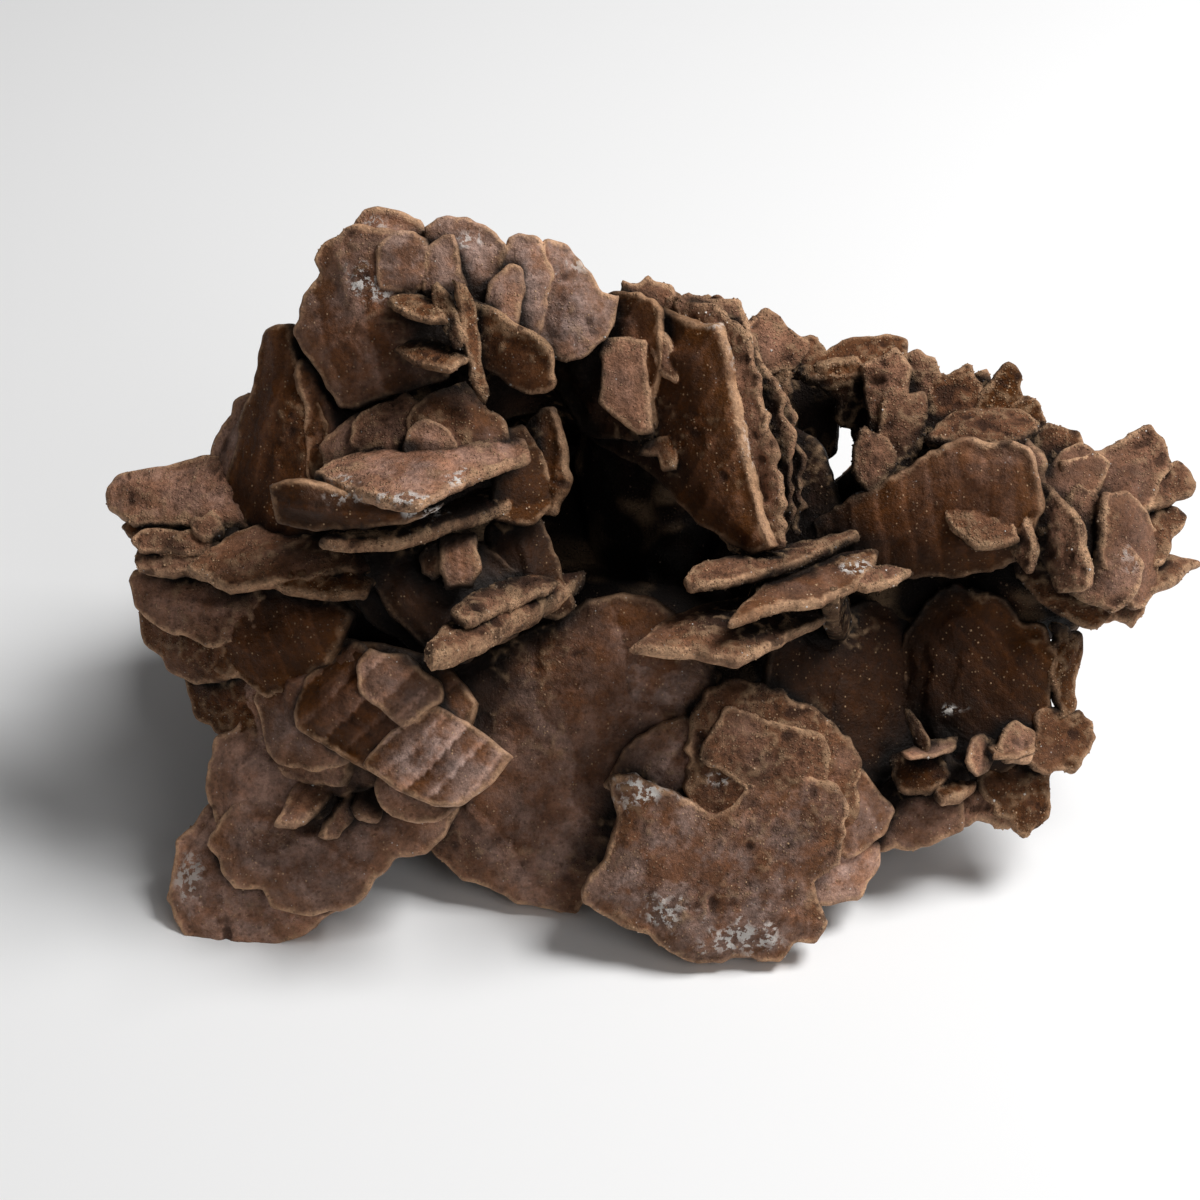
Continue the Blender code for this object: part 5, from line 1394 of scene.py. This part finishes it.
# %% Grow and unite the regions
REGIONS = {
    "crown": traced(CROWN, 0.25, 1.0, FRONT_STEP, 1.0) + traced(UNDER_CROWN, 0.6, 0.4, FRONT_STEP, 1.0)
             + traced(UPPER_LEFT, 0.35, 0.6, FRONT_STEP, 1.2),
    "left_side": traced(LEFT_STACK, 0.6, 0.3, FRONT_STEP, 1.2)
                 + traced(LEFT_SCALLOPS, 0.35, 0.5, FRONT_STEP, 1.3)
                 + traced(LOWER_LEFT, 0.4, 0.5, FRONT_STEP, 1.2),
    "middle": traced(PENTAGON, 0.2, 1.0, FRONT_STEP, 0.9) + traced(MIDDLE, 0.5, 0.4, FRONT_STEP, 0.8),
    "wall": traced(WALL, 0.6, 0.3, FRONT_STEP, 1.2) + traced(THIN_BLADES, 0.8, 0.2, FRONT_STEP, 0.8)
            + traced(TOP_RIGHT, 0.9, 0.1, FRONT_STEP, 1.2),
    "front": traced(FRONT, 0.25, 0.7, FRONT_STEP, 1.2),
    "right_side": traced(RIGHT_HOLLOW, 0.5, 0.4, FRONT_STEP, 1.3)
                  + traced(RIGHT_MIDDLE, 0.4, 0.5, FRONT_STEP, 1.2)
                  + traced(SPRAY, 0.8, 0.2, FRONT_STEP, 1.0),
    "heart_and_back": lump_meshes() + grown(rib_rows(), BACK_STEP, 300, -1.0, -0.9)
                      + grown(back_rows(), BACK_STEP, 400, -0.6, 0.4),
}
skins = {}
for title, meshes in REGIONS.items():
    raw = sum(len(mesh.polygons) for mesh in meshes)
    skin = united(title, meshes)
    clean_cut(skin)
    lost = fill_seams(skin)
    skins[title] = skin
    print(title, "from", raw, "to", len(skin.polygons), "triangles,", lost, "seam points")

# %% [markdown]
# ## How deep each point lies
# Deep between the blades the colour is darkened as painted shade, on top of the shadow that the
# lamps cast. So every point learns how much of the sky it sees. Rays go out from one spot in each
# small cell of the surface, and the share that is blocked nearby is stored on the points around it.
# The materials darken the colour by that share.

# %% Share of the sky that is blocked
def sky_directions(count):
    """Directions spread evenly over a sphere."""
    k = np.arange(count) + 0.5
    height = 1 - 2 * k / count
    turn = k * math.pi * (1 + math.sqrt(5))
    across = np.sqrt(1 - height ** 2)
    return np.column_stack([across * np.cos(turn), across * np.sin(turn), height])


def surface_of(meshes):
    """Points, normals and triangles of several meshes, in millimetres."""
    points, normals, corners, start = [], [], [], 0
    for mesh in meshes:
        count = len(mesh.vertices)
        places = np.empty(count * 3, np.float32)
        mesh.vertices.foreach_get("co", places)
        aims = np.empty(count * 3, np.float32)
        mesh.vertices.foreach_get("normal", aims)
        faces = np.empty(len(mesh.polygons) * 3, np.int32)
        mesh.polygons.foreach_get("vertices", faces)
        points.append(places.reshape(-1, 3) / MM)
        normals.append(aims.reshape(-1, 3))
        corners.append(faces.reshape(-1, 3) + start)
        start += count
    return np.vstack(points), np.vstack(normals), np.vstack(corners)


def blocked_share(points, normals, corners):
    """For each point, the share of the sky that other blades block within reach."""
    tree = BVHTree.FromPolygons(points.tolist(), corners.tolist())
    keys = np.floor(points / SKY_CELL).astype(int)
    side = (normals @ np.array(RIGHT) > 0) * 1 + (normals @ np.array(UP) > 0) * 2
    keys = np.column_stack([keys, side])
    cells, owner, sizes = np.unique(keys, axis=0, return_inverse=True, return_counts=True)
    owner = owner.ravel()
    middles = np.column_stack([np.bincount(owner, points[:, k]) / sizes for k in range(3)])
    aims = np.column_stack([np.bincount(owner, normals[:, k]) for k in range(3)])
    aims /= np.maximum(np.linalg.norm(aims, axis=1, keepdims=True), 1e-6)
    sky = sky_directions(SKY_RAYS)
    ways = [Vector(way) for way in sky]
    facing = aims @ sky.T
    share = np.zeros(len(cells))
    for k, (middle, aim) in enumerate(zip(middles, aims)):
        start = Vector(middle) + Vector(aim) * SKY_LIFT
        total = blocked = 0.0
        for j in np.flatnonzero(facing[k] > 0.1):
            hit = tree.ray_cast(start, ways[j], SKY_REACH)[3]
            total += facing[k, j]
            if hit is not None:
                blocked += facing[k, j] * (1 - 0.6 * hit / SKY_REACH)
        share[k] = blocked / max(total, 1e-6)
    return share[owner]


def smoothed(mesh, values, rounds):
    """The values blended with those of neighbouring points."""
    count = len(mesh.vertices)
    pairs = np.empty(len(mesh.edges) * 2, np.int32)
    mesh.edges.foreach_get("vertices", pairs)
    a, b = pairs.reshape(-1, 2).T
    links = np.bincount(a, minlength=count) + np.bincount(b, minlength=count) + 1
    for _ in range(rounds):
        values = (values + np.bincount(a, values[b], count) + np.bincount(b, values[a], count)) / links
    return values


SKY_CELL = 1.8
SKY_RAYS = 40
SKY_LIFT = 0.6
SKY_REACH = 45.0
SKY_ROUNDS = 7
# The blocked share is stored to paint shade into the colours of the blades and the grains
painted_hollow_shade = blocked_share(*surface_of(skins.values()))
first = 0
for skin in skins.values():
    own = smoothed(skin, painted_hollow_shade[first:first + len(skin.vertices)], SKY_ROUNDS)
    first += len(skin.vertices)
    layer = skin.attributes.new("painted_hollow_shade", "FLOAT", "POINT")
    layer.data.foreach_set("value", own.astype(np.float32))
print("blocked sky from", painted_hollow_shade.min().round(2), "to", painted_hollow_shade.max().round(2))
print("and", painted_hollow_shade.mean().round(2), "on the whole")

# %% [markdown]
# ## Colours and relief by nodes
# Gypsum takes its brown from the sand inside it. Close up there are four things: cloudy brown in
# several depths, paler tan along the rims where the crystal is thin and light comes through, with a
# painted glow there, sand grains as light and dark specks, and white scuffs. The colour also carries
# painted light: a greyish sheen, glints, light crests and dark creases, and shade in the hollows. The
# sand grains and the rims are node groups.

# %% Helpers for node trees
def wired(tree, kind, inputs=None, settings=None):
    """A node with its inputs set or linked, by socket name or number."""
    node = tree.nodes.new(kind)
    for key, value in (settings or {}).items():
        setattr(node, key, value)
    for key, value in (inputs or {}).items():
        socket = node.inputs[key]
        if isinstance(value, bpy.types.NodeSocket):
            tree.links.new(value, socket)
        else:
            socket.default_value = value
    return node


def math_node(tree, operation, a, b=0.0, c=0.0):
    """A Math node's value."""
    node = wired(tree, "ShaderNodeMath", {0: a, 1: b, 2: c}, {"operation": operation})
    return node.outputs[0]


def between(tree, value, low, high, to_low=0.0, to_high=1.0):
    """A value mapped smoothly from one range to another, and held at its ends."""
    inputs = {"Value": value, "From Min": low, "From Max": high, "To Min": to_low, "To Max": to_high}
    node = wired(tree, "ShaderNodeMapRange", inputs, {"interpolation_type": "SMOOTHSTEP"})
    return node.outputs["Result"]


def blend_of(tree, share, first, second):
    """A mix of two colours."""
    node = wired(tree, "ShaderNodeMix", settings={"data_type": "RGBA"})
    for socket, value in zip((node.inputs[0], node.inputs[6], node.inputs[7]), (share, first, second)):
        if isinstance(value, bpy.types.NodeSocket):
            tree.links.new(value, socket)
        else:
            socket.default_value = value
    return node.outputs[2]


def noise_of(tree, place, per_mm, detail=3.0, rough=0.55):
    """Noise from 0 to 1 with this many bumps per millimetre."""
    inputs = {"Vector": place, "Scale": per_mm / MM, "Detail": detail, "Roughness": rough}
    return wired(tree, "ShaderNodeTexNoise", inputs).outputs["Fac"]


def carried(tree, kind):
    """A value stored on the mesh."""
    return wired(tree, "ShaderNodeAttribute", settings={"attribute_name": kind}).outputs["Fac"]


def new_group(title, inputs, outputs):
    """An empty shader group with named sockets, and its two end nodes."""
    group = bpy.data.node_groups.new(title, "ShaderNodeTree")
    for name, kind, value in inputs:
        socket = group.interface.new_socket(name, in_out="INPUT", socket_type=kind)
        if value is not None:
            socket.default_value = value
    for name, kind in outputs:
        group.interface.new_socket(name, in_out="OUTPUT", socket_type=kind)
    start = group.nodes.new("NodeGroupInput")
    end = group.nodes.new("NodeGroupOutput")
    return group, start, end


def use_group(tree, group, inputs):
    """A group placed in a tree."""
    node = tree.nodes.new("ShaderNodeGroup")
    node.node_tree = group
    for name, value in inputs.items():
        if isinstance(value, bpy.types.NodeSocket):
            tree.links.new(value, node.inputs[name])
        else:
            node.inputs[name].default_value = value
    return node


# %% Sand grains as a group
def sand_group():
    """Light and dark grains set in the gypsum: a colour mask for each, and their relief."""
    group, start, end = new_group(
        "sand_grains",
        [("Place", "NodeSocketVector", None), ("Amount", "NodeSocketFloat", 0.5)],
        [("Light", "NodeSocketFloat"), ("Dark", "NodeSocketFloat"), ("Relief", "NodeSocketFloat")])
    place, amount = start.outputs["Place"], start.outputs["Amount"]
    cells = wired(group, "ShaderNodeTexVoronoi", {"Vector": place, "Scale": GRAINS_PER_MM / MM})
    pick = wired(group, "ShaderNodeSeparateColor", {"Color": cells.outputs["Color"]})
    near = between(group, cells.outputs["Distance"], 0.18, 0.42, 1.0, 0.0)
    patches = noise_of(group, place, 0.35, 2.0)
    share = math_node(group, "MULTIPLY", math_node(group, "MULTIPLY", amount, 1.1),
                      between(group, patches, 0.35, 0.65, 0.25, 1.0))
    chosen = math_node(group, "GREATER_THAN", share, pick.outputs["Red"])
    light = math_node(group, "MULTIPLY", near, math_node(group, "MULTIPLY", chosen, pick.outputs["Green"]))
    fine = wired(group, "ShaderNodeTexVoronoi", {"Vector": place, "Scale": SPECKS_PER_MM / MM})
    fine_pick = wired(group, "ShaderNodeSeparateColor", {"Color": fine.outputs["Color"]})
    rare = between(group, fine_pick.outputs["Blue"], 0.72, 0.86)
    dark = math_node(group, "MULTIPLY", between(group, fine.outputs["Distance"], 0.3, 0.55, 1.0, 0.0), rare)
    relief = math_node(group, "MULTIPLY", math_node(group, "MULTIPLY", near, chosen), amount)
    group.links.new(light, end.inputs["Light"])
    group.links.new(dark, end.inputs["Dark"])
    group.links.new(relief, end.inputs["Relief"])
    return group


GRAINS_PER_MM = 2.3
SPECKS_PER_MM = 1.9
SAND = sand_group()
print("the sand group has", len(SAND.nodes), "nodes")

# %% Pale rims, painted glow, white scuffs and painted glints as a group
def rims_glow_and_white_group():
    """Masks for the pale rim, the painted glow of the thin clear edge, and the white scuffs and painted
    glints.
    """
    group, start, end = new_group(
        "rims_painted_glow_and_white",
        [("Place", "NodeSocketVector", None), ("Edge", "NodeSocketFloat", 5.0),
         ("Pale", "NodeSocketFloat", 0.0)],
        [("Rim", "NodeSocketFloat"), ("Glow", "NodeSocketFloat"), ("White", "NodeSocketFloat")])
    place, edge = start.outputs["Place"], start.outputs["Edge"]
    ragged = math_node(group, "MULTIPLY_ADD", noise_of(group, place, 0.8, 3.0), 1.6, -0.8)
    reach = math_node(group, "ADD", edge, ragged)
    broken = between(group, noise_of(group, place, 0.25, 2.0), 0.35, 0.6, 0.35, 1.0)
    rim = math_node(group, "MULTIPLY", between(group, reach, 0.2, 1.0, 1.0, 0.0), broken)
    # Painted glow: light that the thin clear edge lets through, fading within a few millimetres of the rim
    glow = between(group, reach, 0.3, 4.5, 1.0, 0.0)
    crumbs = between(group, noise_of(group, place, 1.1, 3.0, 0.6), 0.49, 0.55)
    white = math_node(group, "MULTIPLY", start.outputs["Pale"], crumbs)
    group.links.new(rim, end.inputs["Rim"])
    group.links.new(glow, end.inputs["Glow"])
    group.links.new(white, end.inputs["White"])
    return group


RIMS_GLOW_AND_WHITE = rims_glow_and_white_group()
print("the wear group has", len(RIMS_GLOW_AND_WHITE.nodes), "nodes")

# %% [markdown]
# The gypsum material reads the values on the points. The colours are plain numbers: deep and warm
# brown mixed in clouds, greyish lilac as a painted sheen on the smooth plates, tan on rims, pale sand
# for the grains, and painted shade that darkens the hollows.

# %% The gypsum material
def gypsum():
    """Sandy brown gypsum with pale rims, painted sheen, glow and glints, and painted shade."""
    material = bpy.data.materials.new("sandy_gypsum_skin")
    material.use_nodes = True
    tree = material.node_tree
    shader = tree.nodes["Principled BSDF"]
    place = wired(tree, "ShaderNodeTexCoord").outputs["Object"]
    sandy = carried(tree, "sandy")
    sand = use_group(tree, SAND, {"Place": place, "Amount": sandy})
    rims_glow_white = use_group(tree, RIMS_GLOW_AND_WHITE, {"Place": place, "Edge": carried(tree, "edge"),
                                  "Pale": carried(tree, "pale")})
    clouds = noise_of(tree, place, CLOUDS_PER_MM, 4.0, 0.6)
    body = blend_of(tree, between(tree, clouds, 0.36, 0.62), DEEP_BROWN, WARM_BROWN)
    # Painted sheen: a greyish lilac veil on the smooth blades stands in for the soft reflection of the light
    painted_sheen_veil = math_node(tree, "MULTIPLY", carried(tree, "sheen"),
                     between(tree, noise_of(tree, place, SHEEN_PATCHES_PER_MM, 5.0, 0.68), 0.38, 0.62))
    painted_sheen_veil = math_node(tree, "MULTIPLY", painted_sheen_veil, between(tree, sandy, 0.2, 0.9, 1.0, 0.3))
    body = blend_of(tree, math_node(tree, "MULTIPLY", painted_sheen_veil, 0.8), body, PAINTED_SHEEN_LILAC)
    # Painted glow: orange brown near the rims stands in for light shining through the thin crystal
    body = blend_of(tree, math_node(tree, "MULTIPLY", rims_glow_white.outputs["Glow"], 0.35), body, PAINTED_GLOW_ORANGE)
    # The tone lightens or darkens each blade; its dark end is painted shade on the blades in the hollows,
    # and the bands and fades in it add painted light
    tone = math_node(tree, "MULTIPLY_ADD", carried(tree, "tone"), 0.5, 0.5)
    shade = wired(tree, "ShaderNodeHueSaturation",
                  {"Color": body, "Value": between(tree, tone, 0.0, 1.0, 0.12, 1.5),
                   "Saturation": between(tree, tone, 0.1, 0.6, 1.3, 0.88)})
    body = shade.outputs["Color"]
    # Pale rims: sand along the rims, and painted light where the thin edges catch it
    rim = math_node(tree, "MULTIPLY", rims_glow_white.outputs["Rim"], between(tree, tone, 0.0, 0.45, 0.3, 0.75))
    body = blend_of(tree, rim, body, RIM_SAND_AND_PAINTED_LIGHT)
    body = blend_of(tree, math_node(tree, "MULTIPLY", sand.outputs["Light"], 0.75), body, PALE_SAND_AND_CREST_LIGHT)
    body = blend_of(tree, math_node(tree, "MULTIPLY", sand.outputs["Dark"], 0.35), body, DARK_SPECK_AND_CREASE_SHADE)
    depth = math_node(tree, "MULTIPLY_ADD", sandy, 1.0, 1.3)
    mottle = math_node(tree, "SUBTRACT", noise_of(tree, place, MOTTLE_PER_MM, 5.0, 0.75), 0.5)
    mottle = math_node(tree, "MULTIPLY_ADD", mottle, depth, 1.0)
    stains = between(tree, noise_of(tree, place, STAINS_PER_MM, 4.0, 0.7), 0.30, 0.70, 0.72, 1.28)
    mottle = math_node(tree, "MULTIPLY", mottle, stains)
    body = wired(tree, "ShaderNodeHueSaturation", {"Color": body, "Value": mottle}).outputs["Color"]
    # Painted shade: the colour darkens where other blades block the sky, in the hollows between them
    shaded = between(tree, carried(tree, "painted_hollow_shade"), 0.12, 0.60, 1.2, 0.05)
    body = wired(tree, "ShaderNodeHueSaturation", {"Color": body, "Value": shaded}).outputs["Color"]
    # Painted glints: rare white specks stand in for sparkles of reflected light, fewer away from the rims,
    # in the hollows and on dark blades
    glints = wired(tree, "ShaderNodeTexVoronoi", {"Vector": place, "Scale": GLINTS_PER_MM / MM})
    glint = wired(tree, "ShaderNodeSeparateColor", {"Color": glints.outputs["Color"]}).outputs["Red"]
    glint = math_node(tree, "MULTIPLY", between(tree, glint, 0.975, 0.985),
                      between(tree, glints.outputs["Distance"], 0.15, 0.4, 1.0, 0.0))
    glint = math_node(tree, "MULTIPLY", glint, between(tree, noise_of(tree, place, 0.3), 0.42, 0.58))
    glint = math_node(tree, "MULTIPLY", glint, between(tree, carried(tree, "edge"), 0.5, 5.0, 1.0, 0.35))
    glint = math_node(tree, "MULTIPLY", glint, between(tree, carried(tree, "painted_hollow_shade"), 0.2, 0.5, 1.0, 0.1))
    glint = math_node(tree, "MULTIPLY", glint, between(tree, tone, 0.15, 0.45, 0.2, 1.0))
    body = blend_of(tree, math_node(tree, "MULTIPLY", glint, 0.8), body, WHITE_SCUFF_AND_GLINT)
    # Painted highlight on the crests of the sandy relief, and painted shade in its creases
    crest = carried(tree, "crest")
    body = blend_of(tree, between(tree, crest, 0.1, 0.9, 0.0, 0.45), body, PALE_SAND_AND_CREST_LIGHT)
    body = blend_of(tree, between(tree, crest, -1.0, -0.1, 0.75, 0.0), body, DARK_SPECK_AND_CREASE_SHADE)
    # White scuffs and crust from the table, with the painted glints and sheen listed there
    body = blend_of(tree, rims_glow_white.outputs["White"], body, WHITE_SCUFF_AND_GLINT)
    tree.links.new(body, shader.inputs["Base Color"])
    patches = noise_of(tree, place, 0.5, 3.0)
    gloss = math_node(tree, "MULTIPLY_ADD", carried(tree, "sheen"), -0.12, 0.42)
    rough = math_node(tree, "MULTIPLY_ADD", patches, 0.22, gloss)
    rough = math_node(tree, "MULTIPLY_ADD", sandy, 0.25, rough)
    tree.links.new(rough, shader.inputs["Roughness"])
    shader.inputs["Specular IOR Level"].default_value = 0.24
    shader.inputs["Specular Tint"].default_value = SHEEN_TINT
    relief = math_node(tree, "MULTIPLY", sand.outputs["Relief"], 0.9)
    grit = math_node(tree, "MULTIPLY_ADD", sandy, 1.00, 0.30)
    relief = math_node(tree, "MULTIPLY_ADD", noise_of(tree, place, GRIT_PER_MM, 4.0, 0.70), grit, relief)
    layers = wired(tree, "ShaderNodeMath", {0: carried(tree, "edge"), 1: 5.0}, {"operation": "MULTIPLY"})
    waves = math_node(tree, "SINE", math_node(
        tree, "MULTIPLY_ADD", noise_of(tree, place, 0.3, 2.0), 14.0, layers.outputs[0]))
    relief = math_node(tree, "MULTIPLY_ADD", waves, 0.025, relief)
    bump = wired(tree, "ShaderNodeBump", {"Strength": 1.0, "Distance": BUMP_MM * MM, "Height": relief})
    tree.links.new(bump.outputs["Normal"], shader.inputs["Normal"])
    return material


# Bumps of each pattern per millimetre, from broad clouds to fine glints, and the depth of the relief
CLOUDS_PER_MM = 0.11
SHEEN_PATCHES_PER_MM = 0.20
STAINS_PER_MM = 0.55
GRIT_PER_MM = 2.2
MOTTLE_PER_MM = 2.4
GLINTS_PER_MM = 2.9
BUMP_MM = 0.55
# Colours: browns of the stone, a greyish lilac for the painted sheen, orange for the painted glow at the
# rims, tan for sand and painted light on rims, pale sand and dark specks that also paint light on crests and
# shade in creases, and white for scuffs and painted glints
DEEP_BROWN = (0.125, 0.048, 0.020, 1.0)
WARM_BROWN = (0.230, 0.095, 0.045, 1.0)
PAINTED_SHEEN_LILAC = (0.330, 0.222, 0.185, 1.0)
PAINTED_GLOW_ORANGE = (0.25, 0.105, 0.040, 1.0)
RIM_SAND_AND_PAINTED_LIGHT = (0.50, 0.300, 0.175, 1.0)
PALE_SAND_AND_CREST_LIGHT = (0.46, 0.29, 0.165, 1.0)
DARK_SPECK_AND_CREASE_SHADE = (0.028, 0.010, 0.005, 1.0)
WHITE_SCUFF_AND_GLINT = (0.70, 0.66, 0.62, 1.0)
SHEEN_TINT = (0.95, 0.85, 0.80, 1.0)
GYPSUM = gypsum()
print(GYPSUM.name, "has", len(GYPSUM.node_tree.nodes), "nodes")

# %% Dress the stone
for title, skin in skins.items():
    skin.materials.clear()
    skin.materials.append(GYPSUM)
    skin.attributes.remove(skin.attributes["known"])
    piece = bpy.data.objects.new(title, skin)
    bpy.context.scene.collection.objects.link(piece)
    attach(piece, "root")
    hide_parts(ROSE)
print(len(skins), "pieces,", sum(len(skin.polygons) for skin in skins.values()), "triangles")

# %% [markdown]
# ## Loose grains
# Sand grains stick out of the rims and of the small sandy leaves, and catch the light. Geometry Nodes
# scatter them: points are spread over the faces, most where the blade is sandy or near its rim, and
# each point gets an eight-sided grain, turned and sized at random.

# %% The scatter tree
def grain_tree():
    """A tree with named inputs that turns a skin into the grains that stick to it."""
    tree = bpy.data.node_groups.new("sand_scatter", "GeometryNodeTree")
    face = tree.interface
    face.new_socket("Geometry", in_out="INPUT", socket_type="NodeSocketGeometry")
    for name, kind, value in (("Grains per square metre", "NodeSocketFloat", 1.0),
                              ("Smallest grain", "NodeSocketFloat", 0.1 * MM),
                              ("Largest grain", "NodeSocketFloat", 0.2 * MM),
                              ("Seed", "NodeSocketInt", 1),
                              ("Finish", "NodeSocketMaterial", None)):
        socket = face.new_socket(name, in_out="INPUT", socket_type=kind)
        if value is not None:
            socket.default_value = value
    face.new_socket("Geometry", in_out="OUTPUT", socket_type="NodeSocketGeometry")
    start = tree.nodes.new("NodeGroupInput")
    end = tree.nodes.new("NodeGroupOutput")
    sandy = wired(tree, "GeometryNodeInputNamedAttribute", {"Name": "sandy"}).outputs["Attribute"]
    edge = wired(tree, "GeometryNodeInputNamedAttribute", {"Name": "edge"}).outputs["Attribute"]
    rim = wired(tree, "ShaderNodeMapRange", {"Value": edge, "From Min": 0.2, "From Max": 2.2,
                                             "To Min": 1.0, "To Max": 0.22}).outputs["Result"]
    place = tree.nodes.new("GeometryNodeInputPosition").outputs["Position"]
    cloud = wired(tree, "ShaderNodeTexNoise", {"Vector": place, "Scale": 0.25 / MM}).outputs["Fac"]
    patch = between(tree, cloud, 0.38, 0.62, 0.1, 1.0)
    share = math_node(tree, "MULTIPLY", math_node(tree, "MULTIPLY", sandy, sandy),
                      math_node(tree, "MULTIPLY", rim, patch))
    density = math_node(tree, "MULTIPLY", share, start.outputs["Grains per square metre"])
    spread = wired(tree, "GeometryNodeDistributePointsOnFaces",
                   {"Mesh": start.outputs["Geometry"], "Density": density, "Seed": start.outputs["Seed"]})
    tone = wired(tree, "FunctionNodeRandomValue", {"Seed": 5}, {"data_type": "FLOAT"})
    toned = wired(tree, "GeometryNodeStoreNamedAttribute",
                  {"Geometry": spread.outputs["Points"], "Name": "tone", "Value": tone.outputs[1]},
                  {"data_type": "FLOAT", "domain": "POINT"})
    turns = wired(tree, "FunctionNodeRandomValue", {"Max": (FULL_TURN,) * 3, "Seed": 6},
                  {"data_type": "FLOAT_VECTOR"})
    sizes = wired(tree, "FunctionNodeRandomValue",
                  {2: start.outputs["Smallest grain"], 3: start.outputs["Largest grain"], "Seed": 7},
                  {"data_type": "FLOAT"})
    grain = wired(tree, "GeometryNodeMeshUVSphere", {"Segments": 4, "Rings": 2, "Radius": 1.0})
    placed = wired(tree, "GeometryNodeInstanceOnPoints",
                   {"Points": toned.outputs["Geometry"], "Instance": grain.outputs["Mesh"],
                    "Rotation": turns.outputs[0], "Scale": sizes.outputs[1]})
    real = wired(tree, "GeometryNodeRealizeInstances", {"Geometry": placed.outputs["Instances"]})
    dressed = wired(tree, "GeometryNodeSetMaterial",
                    {"Geometry": real.outputs["Geometry"], "Material": start.outputs["Finish"]})
    tree.links.new(dressed.outputs["Geometry"], end.inputs["Geometry"])
    return tree


FULL_TURN = 6.283
SCATTER = grain_tree()
print("the scatter tree has", len(SCATTER.nodes), "nodes")

# %% The finish of the grains
def grain_finish():
    """Quartz grains from brown to nearly white."""
    material = bpy.data.materials.new("loose_sand")
    material.use_nodes = True
    tree = material.node_tree
    shader = tree.nodes["Principled BSDF"]
    tone = carried(tree, "tone")
    body = blend_of(tree, between(tree, tone, 0.0, 0.75), GRAIN_BROWN, PALE_SAND_AND_CREST_LIGHT)
    body = blend_of(tree, between(tree, tone, 0.95, 1.0), body, WHITE_SCUFF_AND_GLINT)
    # Painted shade: grains in the hollows darken where other blades block the sky
    shaded = between(tree, carried(tree, "painted_hollow_shade"), 0.12, 0.62, 1.0, 0.12)
    body = wired(tree, "ShaderNodeHueSaturation", {"Color": body, "Value": shaded}).outputs["Color"]
    tree.links.new(body, shader.inputs["Base Color"])
    place = wired(tree, "ShaderNodeTexCoord").outputs["Object"]
    tree.links.new(between(tree, noise_of(tree, place, 1.0), 0.3, 0.7, 0.35, 0.7),
                   shader.inputs["Roughness"])
    return material


GRAIN_BROWN = (0.17, 0.075, 0.035, 1.0)
LOOSE_SAND = grain_finish()
print(LOOSE_SAND.name, "is ready")

# %% Scatter the grains
def scattered(title, source, per_square_mm, seed):
    """The grains on one skin as a plain mesh."""
    holder = bpy.data.objects.new(title, source)
    bpy.context.scene.collection.objects.link(holder)
    modifier = holder.modifiers.new("scatter", "NODES")
    modifier.node_group = SCATTER
    wanted = {"Grains per square metre": per_square_mm / MM ** 2, "Smallest grain": SMALLEST_GRAIN * MM,
              "Largest grain": LARGEST_GRAIN * MM, "Seed": seed, "Finish": LOOSE_SAND}
    for item in SCATTER.interface.items_tree:
        if item.item_type == "SOCKET" and item.in_out == "INPUT" and item.name in wanted:
            modifier[item.identifier] = wanted[item.name]
    bpy.context.view_layer.update()
    seen = holder.evaluated_get(bpy.context.evaluated_depsgraph_get())
    mesh = bpy.data.meshes.new_from_object(seen)
    holder.modifiers.remove(modifier)
    holder.data = mesh
    return holder


# Radius of the smallest and the largest grain in mm, and grains per square millimetre on each skin
SMALLEST_GRAIN = 0.10
LARGEST_GRAIN = 0.24
GRAINS_ON = {"crown": 1.3, "left_side": 1.1, "middle": 1.2, "wall": 1.3, "front": 1.0, "right_side": 1.2,
             "heart_and_back": 0.5}
for seed, (title, per_square_mm) in enumerate(GRAINS_ON.items()):
    grains = scattered("grains_" + title, skins[title], per_square_mm, seed + 1)
    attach(grains, "root")
    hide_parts(ROSE)
    print(grains.name, "has", len(grains.data.polygons), "faces")

# %% [markdown]
# ## Floor and light
# The stone stands on a plain pale table. The light is that of a bright room: one broad soft light
# high on the right, a weaker one beside the camera, and pale surroundings that keep the shadows open.

# %% Floor
def floor_material():
    """Matt pale paper."""
    material = bpy.data.materials.new("pale_floor")
    material.use_nodes = True
    shader = material.node_tree.nodes["Principled BSDF"]
    shader.inputs["Base Color"].default_value = (0.86, 0.86, 0.86, 1.0)
    shader.inputs["Roughness"].default_value = 0.9
    return material


FLOOR_REACH = 4.0
floor_mesh = bpy.data.meshes.new("floor")
corners = [(-FLOOR_REACH, -FLOOR_REACH, 0), (FLOOR_REACH, -FLOOR_REACH, 0),
           (FLOOR_REACH, FLOOR_REACH, 0), (-FLOOR_REACH, FLOOR_REACH, 0)]
floor_mesh.from_pydata(corners, [], [(0, 1, 2, 3)])
floor_mesh.materials.append(floor_material())
floor = bpy.data.objects.new("floor", floor_mesh)
bpy.context.scene.collection.objects.link(floor)
print("the floor is", 2 * FLOOR_REACH, "m wide")

# %% Lights
def soft_light(name, place, size, power):
    """A square area light that looks at the middle of the stone."""
    light = bpy.data.lights.new(name, "AREA")
    light.size = size
    light.energy = power
    lamp = bpy.data.objects.new(name, light)
    lamp.location = place
    towards = Vector((0.0, 0.0, 0.03)) - lamp.location
    lamp.rotation_euler = towards.to_track_quat("-Z", "Y").to_euler()
    bpy.context.scene.collection.objects.link(lamp)
    return lamp


soft_light("window", (0.42, 0.06, 0.68), 0.30, 7.2)
soft_light("fill", (0.45, -0.65, 0.60), 0.45, 1.2)
world = bpy.data.worlds.new("pale_room")
world.use_nodes = True
world.node_tree.nodes["Background"].inputs["Color"].default_value = (1.0, 1.0, 1.0, 1.0)
world.node_tree.nodes["Background"].inputs["Strength"].default_value = 0.12
bpy.context.scene.world = world
bpy.context.scene.view_settings.view_transform = "Standard"
print("two soft lights and a pale room")
